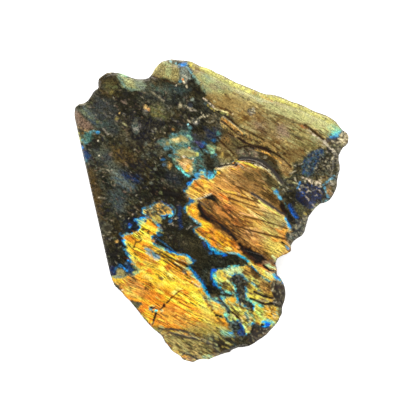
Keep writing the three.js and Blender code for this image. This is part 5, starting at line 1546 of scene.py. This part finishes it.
for shade, x, y, *size in (
    (CAMEL, 28, -48, 2, 0.5, -30), (MIST, 5, -41, 1.1, 0.5, -30), (SEA, 5, -43, 1.3, 0.6, -30),
    (COPPER, 8, -46.5, 0.9, 0.6, -30), (PITCH, 8, -51, 0.9, 0.8, -30), (JADE, 18.5, -57, 0.9, 0.9, -30),
    (COBALT, 14, -60.5, 1.1, 2.2, -30), (MALT, 19, -59, 1.4, 1.4, -30),
    (BRONZE, 22.5, -56.5, 1.5, 0.7, -30),
):
    dab(shade, x, y, *size)
for shade, width, *line in (
    (WALNUT, 0.6, 7.6, -49.4, 12.6, -53.6), (MUD, 0.6, 9.4, -48.4, 12.4, -50.6, 14.6, -53),
):
    stripe(shade, width, *line, gaps=0.2)
blot((COAL, LOAM), 0.8, 8.5, -56.5, 11, -56, 13.5, -57.5, 13, -59.5, 9, -60, 8, -58)

# Its shores, shelves and fibres.
blot(
    (PALE, PALE, CELERY, LIME), 0.8, 5, -29.5, 8, -28.5, 12, -28, 15.5, -29, 14.5, -31, 11, -31, 8, -32,
    6, -31, lean=-50, stretch=3, grain=0.7, glow=0.9
)
for shade, width, *line in (
    (CYAN, 0.9, 8, -28.1, 13, -27.7, 15.4, -28), (HAZE, 1, 8.4, -32.4, 11.5, -31.4, 13, -31.2, 14.7, -31.8),
    (HAZE, 1.2, 14.5, -32.5, 18, -35.2, 20, -36.3, 22, -38), (LIME, 1, 16.6, -33, 20.4, -35.2, 23, -36),
    (HAZE, 1, 16.4, -37.9, 16.4, -39.4), (SOOT, 0.9, 7.6, -33.6, 10.2, -35.6, 10.8, -37),
    (PALE, 1.3, 7.5, -35, 9, -36.4, 11, -39.6), (FOAM, 1, 9.8, -36.2, 11, -37.1, 11.6, -38.2, 11.7, -39.4),
    (MINT, 1, 6, -39.9, 7.6, -40.8, 9.2, -41.3), (PEAT, 1, 4, -42.3, 7, -42.1, 12, -43),
    (SKY, 1.1, 11.4, -42.9, 12.5, -44, 12.8, -45.5), (LAGOON, 1.5, 16.5, -51, 18, -55),
    (UMBER, 1.1, 4.2, -46.6, 7, -48, 9, -49.4, 13, -53.4), (MINT, 1.8, 17, -44, 25, -48),
    (CYAN, 1, 23, -47.3, 25, -47.8), (WALNUT, 1.2, 18, -47.6, 19.4, -48.8, 20, -50.4),
    (MINT, 0.9, 17.8, -50.3, 19.5, -52, 20.5, -54, 21, -55.8), (LEMON, 1.5, 3, -32, 4, -34, 7, -36.5),
    (BLUE, 1.3, -0.2, -30.8, -0.5, -33, -0.3, -35, 0.7, -36.8, 2, -38.1),
    (SKY, 1.5, 0.5, -31, 0.5, -34.5, 4, -38.5), (CYAN, 0.9, 1.6, -31.4, 1.5, -33, 2.2, -34.8, 5.4, -37.6),
    (MIST, 1.2, -2.2, -42.6, 1.5, -44.8), (MIST, 1, 1.5, -44.9, 5, -46.9, 8, -49.2),
):
    stripe(shade, width, *line)
for shade, x, y, *size in (
    (BLUE, 1, -30, 1.2, 0.9), (SEA, 2, -44, 1, 0.5, -30), (MINT, 7, -52, 1.1, 0.9),
):
    dab(shade, x, y, *size, strength=1)
CURL_LOW = (
    4.4, -43.4, 12, -43, 16, -47, 22, -49, 28, -47, 33, -49.2, 33.4, -54.6, 24, -56, 20, -58, 14.2,
    -57.2, 8, -54
)
strew((TEAK, LEATHER, PEAT), 60, 83, *CURL_LOW, long=2.6, width=0.4, lean=-38, spread=14, strength=0.8)
strew((PRIMROSE, CELERY, BUTTER), 50, 84, *CURL_LOW, long=1.6, width=0.4, lean=-38, spread=30, strength=0.7)
strew(
    (TEAK, UMBER), 50, 85, 15, -29.4, 21, -30, 30, -37, 30.4, -44, 24, -46, 17, -43, 16, -34, long=2.6,
    width=0.4, lean=-32, spread=14, strength=0.75
)
strew(
    (OLIVE, DRAB, KHAKI), 30, 86, 1, -31, 8, -29, 15, -29, 14, -31.6, 9, -33, 11, -37, 12, -41, 7, -41,
    2, -37, long=1.8, width=0.4, lean=-45, spread=16, strength=0.7
)
for shade, width, *line in (
    (PITCH, 1.2, 20.8, -40.6, 25, -42.5, 30, -43.8),
    (PITCH, 1.2, 19, -44, 22, -44.8, 24, -45.9, 26, -46.6, 29, -46.6, 31, -45.8),
):
    stripe(shade, width, *line, strength=1, gaps=0.2)
for shade, width, *line in (
    (STONE, 0.6, 22, -44.4, 25, -45.2, 28, -45.3), (SOOT, 1, 29, -46, 31, -47, 33.4, -47.8, 35, -47.8),
    (TAR, 0.7, 6.4, -47.6, 11.4, -51.8, 14, -54.6),
):
    stripe(shade, width, *line, gaps=0.2)
strew(
    (WILLOW, PETROL, POOL, FOG), 26, 90, 8, -55.6, 14, -56, 17, -59, 16.4, -63, 11, -62, 8, -59,
    long=1.4, width=0.5, lean=-50
)
blot((ROCK, GRAPHITE, MOSS), 0.6, 32.5, -48, 35, -48, 36, -53, 34, -58, 31, -58.5, 33, -54, rough=0.3)
blot((GRAPHITE, ROCK, LOAM), 0.6, 19.5, -57, 22, -56.5, 24.5, -57.5, 25.5, -59.5, 22, -60.5, 19.5, -59)
stripe(DENIM, 1.5, 14, -56.5, 15, -59, 15.5, -62)
strew(
    (WILLOW, COAL, IRON, PEWTER), 60, 101, *CHANNEL, long=1.2, width=0.35, lean=-60, spread=90,
    strength=0.75
)
strew(
    (CHESTNUT, BARK), 24, 102, 3, -35, 8, -36, 12, -41, 10, -42, 5, -40, long=2.2, width=0.35, lean=-42,
    spread=10, strength=0.75
)

# A blue eye low in the curl.
stripe(ICE, 1.1, 24.7, -55.9, 25.4, -55.2, 26.8, -54.5, 28.6, -54.7, 30, -55.8, 30.6, -57.2, strength=1)
for shade, x, y, *size in (
    (AZURE, 27.5, -56, 2, 0.9, -10), (BLUE, 27, -57, 1.4, 0.8), (BLUE, 28, -56.5, 1, 0.6),
    (SOOT, 25, -57, 0.9, 0.7),
):
    dab(shade, x, y, *size, strength=1)
stripe(COAL, 0.9, 27.6, -58.3, 30, -58, 31, -57)

# Rock between the curl and the broken edge.
blot(
    (ROCK, GRAPHITE, DRAB, PEAT), 0.9, 29, -37, 30, -36, 32, -35.5, 34.5, -36, 37, -39, 37.5, -42, 37,
    -46, 34, -48, 30.5, -46.5, 31, -44, strength=1, grain=0.8, stretch=1.4, rough=0.3
)
dab(CHALK, 30, -40, 0.9, 0.4, -20, rough=0.3)
stripe(HONEY, 0.9, 29, -36.1, 30.5, -35.2, 32, -34.9, 34, -35.9)
blot(
    (COAL, GRAPHITE, PEAT, DRAB), 0.8, 20.5, -58, 24, -59, 28.5, -59, 31.5, -58, 34, -56, 34, -62, 26,
    -66, 18, -66, 17.5, -62.5, 20, -60, strength=1, rough=0.3, grain=0.7, stretch=1.3
)
strew((BONE, STONE, TAUPE), 26, 73, 20, -58.6, 30, -59, 33, -58, 26, -65, 18, -65, long=1.2, width=0.35)
strew((SOOT, PITCH), 20, 74, 20, -58.6, 30, -59, 33, -58, 26, -65, 18, -65, long=1.6, width=0.5)
strew(
    (STONE, PUTTY, PEWTER), 46, 103, 29, -36, 34, -36, 37, -40, 37, -46, 31, -47, 30, -41, long=0.9,
    width=0.35, spread=90, strength=0.8
)
strew(
    (SOOT, LOAM, COCOA), 46, 104, 29, -37, 34, -36.4, 37, -40, 36, -46, 31, -46, 30, -41, long=1.8,
    width=0.6, spread=60, strength=0.8
)
strew(
    (CHALK, ROSEWOOD, WILLOW, NUT), 50, 105, 18, -59, 26, -59.4, 33, -57, 30, -62, 24, -66, 16, -65,
    long=1, width=0.4, spread=90, strength=0.85
)
strew(
    (SOOT, SOOT, TAR), 50, 106, 18, -59, 26, -59.4, 33, -57, 30, -62, 24, -66, 16, -65, long=1.4,
    width=0.6, spread=90, strength=0.85
)

# The narrow foot: dull olive rock under two long joints, lit in a few places only.
blot(
    (HAY, REED, HAY, OLIVE), 2.5, -12, -58, -6, -56, 4, -57, 12, -62, 12, -68, 0, -68, -14, -61,
    lean=-30, stretch=6, glow=0.6
)
blot(
    (NUT, KHAKI, DUNE, OCHRE, DUNE), 1.2, -28.5, -59, -23, -60, -16, -60.5, -4, -63.5, 0, -66, 3, -69.5,
    2, -74, -4, -80, -40, -80, -34, -60, lean=-24, grain=1, stretch=5, glow=0.5
)
blot(
    (POOL, WILLOW, SHALE, PEWTER), 1.6, -4, -63, 0, -62, 7, -66, 5, -70, 1, -69, -3, -66, lean=-38,
    stretch=5
)
blot((PEAT, DUSK, ROCK, LOAM), 1.2, 2.5, -63.5, 14, -63, 14, -70, 8, -74, 3.5, -73, 3, -69.5, 1, -66.5)
blot((PALE, MINT, SEA), 0.7, -5.5, -72.5, -3, -71.5, 0, -72, 0.5, -73.5, -2, -74, -5, -74, glow=0.9)
for shade, width, *line in (
    (COCOA, 0.9, -28.5, -57.9, -26, -58.8, -23.5, -59, -21, -58.8, -14, -59.8),
    (WALNUT, 1, -14, -59.8, -10, -61.2, -8, -61.5, -6, -62.2),
    (GRAPHITE, 1.1, -20.6, -61, -15, -62.7, -8, -64.2, -5, -64.6, -2.5, -66.4, 0, -67.5, 3, -70),
):
    stripe(shade, width, *line, sink=0.15)
for shade, x, y, *size in (
    (STRAW, 5, -59, 2.4, 1.2, -20), (FLAX, -25, -58, 1.6, 0.6, -20),
):
    dab(shade, x, y, *size)
for shade, width, *line in (
    (PEAT, 0.9, -28.4, -58.6, -24, -59.3, -20, -59.2, -16, -59.8, -9, -61.8),
    (PEAT, 0.9, -22, -61, -17, -62, -5, -65, -2, -66.6, 2.6, -70),
):
    stripe(shade, width, *line, rough=1, gaps=0.2)
blot(
    (SUN, WHEAT, ORANGE, LEMON), 1, -24.5, -64, -23, -64, -21, -67, -18, -69.5, -9.5, -74, -10, -75.5,
    -15, -74, -20, -70.5, -23.5, -66.5, lean=-40
)
blot(
    (PEACH, HONEY, DUNE), 1.2, -26, -60.5, -22, -60.5, -18, -63.5, -20, -66, -24, -65, lean=-20,
    strength=0.6
)
strew(
    (OLIVE, DRAB, STRAW, LEAF), 130, 117, -24, -62, -12, -64, -4, -66, 2, -70, -2, -73.6, -10, -73, -20,
    -69, long=3.2, width=0.26, lean=-16, spread=12, strength=0.6
)
blot(
    (DUNE, FAWN, KHAKI), 1.6, -24, -61, -14, -65, -6, -67, -4, -71, -10, -72, -16, -70, -22, -67,
    lean=-14, stretch=7, strength=0.5
)
strew(
    (SOOT, PEAT, SHALE, GRAPHITE), 90, 119, -1, -64, 4, -62.6, 10, -63.4, 13, -66, 9, -70.6, 3, -73, 0,
    -69, long=2.6, width=0.4, lean=-36, spread=14, strength=0.75
)
stripe(LOAM, 1, -16, -70.8, -13.4, -71, -11, -71.8, -7.4, -74.2, strength=1, gaps=0.2, rough=0.8)
stripe(TAR, 0.9, -24.8, -62.6, -23.4, -66, rough=0.8)
FOOT = (-28.4, -59, -16, -60.6, -4, -61, 2, -59, 9, -61, 12, -64, 8, -71, 0, -74, -10, -76, -20, -72)
strew((BARK, MUD, PEAT), 110, 87, *FOOT, long=3.4, width=0.4, lean=-27, spread=16, strength=0.75)
strew((LEAF, STRAW, CORN), 80, 88, *FOOT, long=2.4, width=0.35, lean=-27, spread=20, strength=0.6)
blot((MIST, LAGOON, SEA), 0.8, 4.5, -60, 8, -60, 10.5, -61, 10.5, -62.5, 7, -63, 5, -62)
dab(MARINE, 9, -61, 1.2, 0.7, strength=1)

# The sides are plain rock right up to the arris, since only the face is cut along the
# layers that flash. Their layers lie flat, and the sawn side is smoother than the breaks.
WALL_SHADES = ((52, 47, 34), (88, 82, 64), (120, 114, 94), (152, 146, 124))
RIM_BAND = 2.0
SAWN_ROUGH, BROKEN_ROUGH = 0.45, 0.85

wall_mottle = 0.5 * drift(places[:, [0, 2]] + places[:, [1, 1]], 1.1, 12)
wall_mottle += 0.5 * drift(places[:, [1, 2]] - places[:, [0, 0]], 3.4, 14)
to_rim = np.full(count, 9.0)
for vertex in np.flatnonzero((places[:, 2] > WIDEST_LEVEL) & (upward < 0.6)):
    to_rim[vertex] = outline_finder.find((*(spots[vertex] / MILLIMETRES), 0))[2] * MILLIMETRES
under_arris = smooth((0.5 - upward) / 0.3) * smooth((RIM_BAND - to_rim) / 0.6)
side = np.where(places[:, 2] > WIDEST_LEVEL, under_arris, 1.0)
hue += (shades(wall_mottle, WALL_SHADES) - hue) * side[:, None]
from_saw = (spots / MILLIMETRES - SAW_TOP) @ (-saw_run[1], saw_run[0]) * MILLIMETRES
sheen *= 1 - side
raw += (np.where(np.abs(from_saw) < SAW_BAND * MILLIMETRES, SAWN_ROUGH, BROKEN_ROUGH) - raw) * side

# The painted relief cuts down from the polish, rough patches most of all.
DEEPEST_CUT = 0.4
flaking = smooth((raw - 0.1) / 0.6) * np.clip(upward, 0, 1)
sunk += flaking * (0.12 + 0.12 * drift(spots, 1.3, 77))
places[:, 2] -= np.clip(0.6 * sunk, 0, DEEPEST_CUT)
low, high = np.array(cad_low) * MILLIMETRES, np.array(cad_high) * MILLIMETRES
write_places(np.clip(places, low, high) / MILLIMETRES)
bpy.ops.object.shade_smooth()


def keep(name, kind, field, values):
    # stores one painted value on each vertex for the material to read
    attribute = slab.data.attributes.new(name, kind, "POINT")
    attribute.data.foreach_set(field, np.ascontiguousarray(values, dtype=np.float32).ravel())


def linear(colours):
    # sRGB of 0 to 255 as linear light
    shown = np.clip(colours / 255, 0, 1)
    return np.where(shown <= 0.04045, shown / 12.92, ((shown + 0.055) / 1.055) ** 2.4)


FIBRE_LEAN = -31
ahead = heading(FIBRE_LEAN)
across_layers = spots @ np.array([-ahead[1], ahead[0]]) + 1.1 * drift(spots, 13, 81)
across_layers += (places[:, 2] - across_layers) * side
fibres = np.stack((spots @ ahead, across_layers, sheen), axis=1)
# Painted shade: steep slopes within the polished face are darkened, since the low softboxes light them more
# than the flat face.
steep_face_painted_shade = smooth((0.9 - upward) / 0.5) * (places[:, 2] > FACE_LEVEL * MILLIMETRES) * (1 - raw)
hue *= 1 - 0.3 * steep_face_painted_shade[:, None]
albedo = np.clip((linear(hue) - POLISH_GLEAM) / LAMP_GAIN, 0.001, 0.95)
keep("stone_colour", "FLOAT_COLOR", "color", np.concatenate((albedo, np.ones((count, 1))), axis=1))
keep("lamella", "FLOAT_VECTOR", "vector", fibres)
keep("raw", "FLOAT", "value", raw)

# ---------------------------------------------------------------------------------------
# Labradorite: the paint carries the colour. Fine fibres and dark hairlines run along the
# sheen, and grains and bright specks lie anyhow in the rock. The polish is glossy with a
# faint orange peel, and raw stone is matt and gritty.
# ---------------------------------------------------------------------------------------

stone = bpy.data.materials.new("labradorite")
stone.use_nodes = True
nodes, links = stone.node_tree.nodes, stone.node_tree.links
shader = nodes["Principled BSDF"]


def node(kind, **settings):
    # adds a shader node and sets its options, and its sockets by name
    made = nodes.new(kind)
    for option, value in settings.items():
        if hasattr(made, option):
            setattr(made, option, value)
        else:
            made.inputs[option.replace("_", " ").capitalize()].default_value = value
    return made


def work_out(operation, first, second, third=0.0):
    # joins two or three values, each a socket or a plain number
    step = node("ShaderNodeMath", operation=operation)
    for slot, value in enumerate((first, second, third)):
        if isinstance(value, (int, float)):
            step.inputs[slot].default_value = value
        else:
            links.new(value, step.inputs[slot])
    return step.outputs[0]


def along_fibres(long, wide, **settings):
    # noise drawn out along the fine layers; long and wide count repeats in a millimetre
    stretched = node("ShaderNodeVectorMath", operation="MULTIPLY")
    stretched.inputs[1].default_value = (long, wide, 0.0)
    links.new(lamella.outputs["Vector"], stretched.inputs[0])
    noise = node("ShaderNodeTexNoise", Scale=1.0, **settings)
    links.new(stretched.outputs[0], noise.inputs["Vector"])
    return noise.outputs["Fac"]


painted = node("ShaderNodeAttribute", attribute_name="stone_colour")
lamella = node("ShaderNodeAttribute", attribute_name="lamella")
rawness = node("ShaderNodeAttribute", attribute_name="raw")
split = node("ShaderNodeSeparateXYZ")
links.new(lamella.outputs["Vector"], split.inputs[0])
shine = split.outputs["Z"]
fibre = along_fibres(0.22, 1.9, Detail=3.0, Roughness=0.65)
hair = along_fibres(0.04, 0.7, Detail=2.0, Roughness=0.5)
patch = along_fibres(0.09, 0.17, Detail=1.0, Roughness=0.5)
place = node("ShaderNodeTexCoord")
grain = node("ShaderNodeTexNoise", Scale=1400.0, Detail=3.0, Roughness=0.65)
links.new(place.outputs["Object"], grain.inputs["Vector"])
speck = node("ShaderNodeTexNoise", Scale=850.0, Detail=2.0, Roughness=0.55)
links.new(place.outputs["Object"], speck.inputs["Vector"])

# Fibres show most where the layers shine, and in patches.
patchy = work_out("MAXIMUM", work_out("MULTIPLY_ADD", patch, 5.0, -2.0), 0.0)
patchy = work_out("MINIMUM", patchy, 1.0)
fibre_swing = work_out("MULTIPLY_ADD", fibre, 4.2, -2.1)
fibre_share = work_out("MULTIPLY_ADD", shine, 0.85, 0.2)
fibre_share = work_out("MULTIPLY", fibre_share, work_out("MULTIPLY_ADD", patchy, 0.9, 0.55))
fibre_part = work_out("MULTIPLY", fibre_swing, fibre_share)

# Grains and specks show where they do not shine.
dullness = work_out("MAXIMUM", work_out("MULTIPLY_ADD", shine, -1.0, 1.0), 0.42)
grain_swing = work_out("MULTIPLY_ADD", grain.outputs["Fac"], 4.6, -2.3)
bright = work_out("MAXIMUM", work_out("MULTIPLY_ADD", speck.outputs["Fac"], 8.0, -5.0), 0.0)
grain_part = work_out("MULTIPLY", work_out("ADD", grain_swing, bright), dullness)

# A hairline is drawn wherever its noise crosses one half.
near_hair = work_out("ABSOLUTE", work_out("MULTIPLY_ADD", hair, 2.0, -1.0), 0.0)
hairline = work_out("MAXIMUM", work_out("MULTIPLY_ADD", near_hair, -22.0, 1.0), 0.0)
hairline = work_out("MULTIPLY", hairline, patchy)
hair_part = work_out("MULTIPLY", hairline, work_out("MULTIPLY", shine, -0.8))

gain = work_out("MULTIPLY_ADD", shine, 0.1, 1.02)
for part in (fibre_part, grain_part, hair_part):
    gain = work_out("ADD", gain, part)
gain = work_out("MAXIMUM", gain, 0.12)
tinted = node("ShaderNodeVectorMath", operation="SCALE")
links.new(painted.outputs["Color"], tinted.inputs[0])
links.new(gain, tinted.inputs["Scale"])
links.new(tinted.outputs[0], shader.inputs["Base Color"])

gloss = work_out("MULTIPLY_ADD", rawness.outputs["Fac"], 0.5, 0.2)
links.new(work_out("MULTIPLY_ADD", grain.outputs["Fac"], 0.14, gloss), shader.inputs["Roughness"])
shader.inputs["IOR"].default_value = 1.56
shader.inputs["Specular Tint"].default_value = (1.0, 0.9, 0.76, 1.0)
grit = node("ShaderNodeBump", Strength=0.6, Distance=0.0002)
grittiness = work_out("MULTIPLY_ADD", rawness.outputs["Fac"], 1.0, 0.05)
links.new(work_out("MULTIPLY", grain.outputs["Fac"], grittiness), grit.inputs["Height"])
links.new(grit.outputs["Normal"], shader.inputs["Normal"])
slab.data.materials.clear()
slab.data.materials.append(stone)

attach(slab, "root")
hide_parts("labradorite_slab")
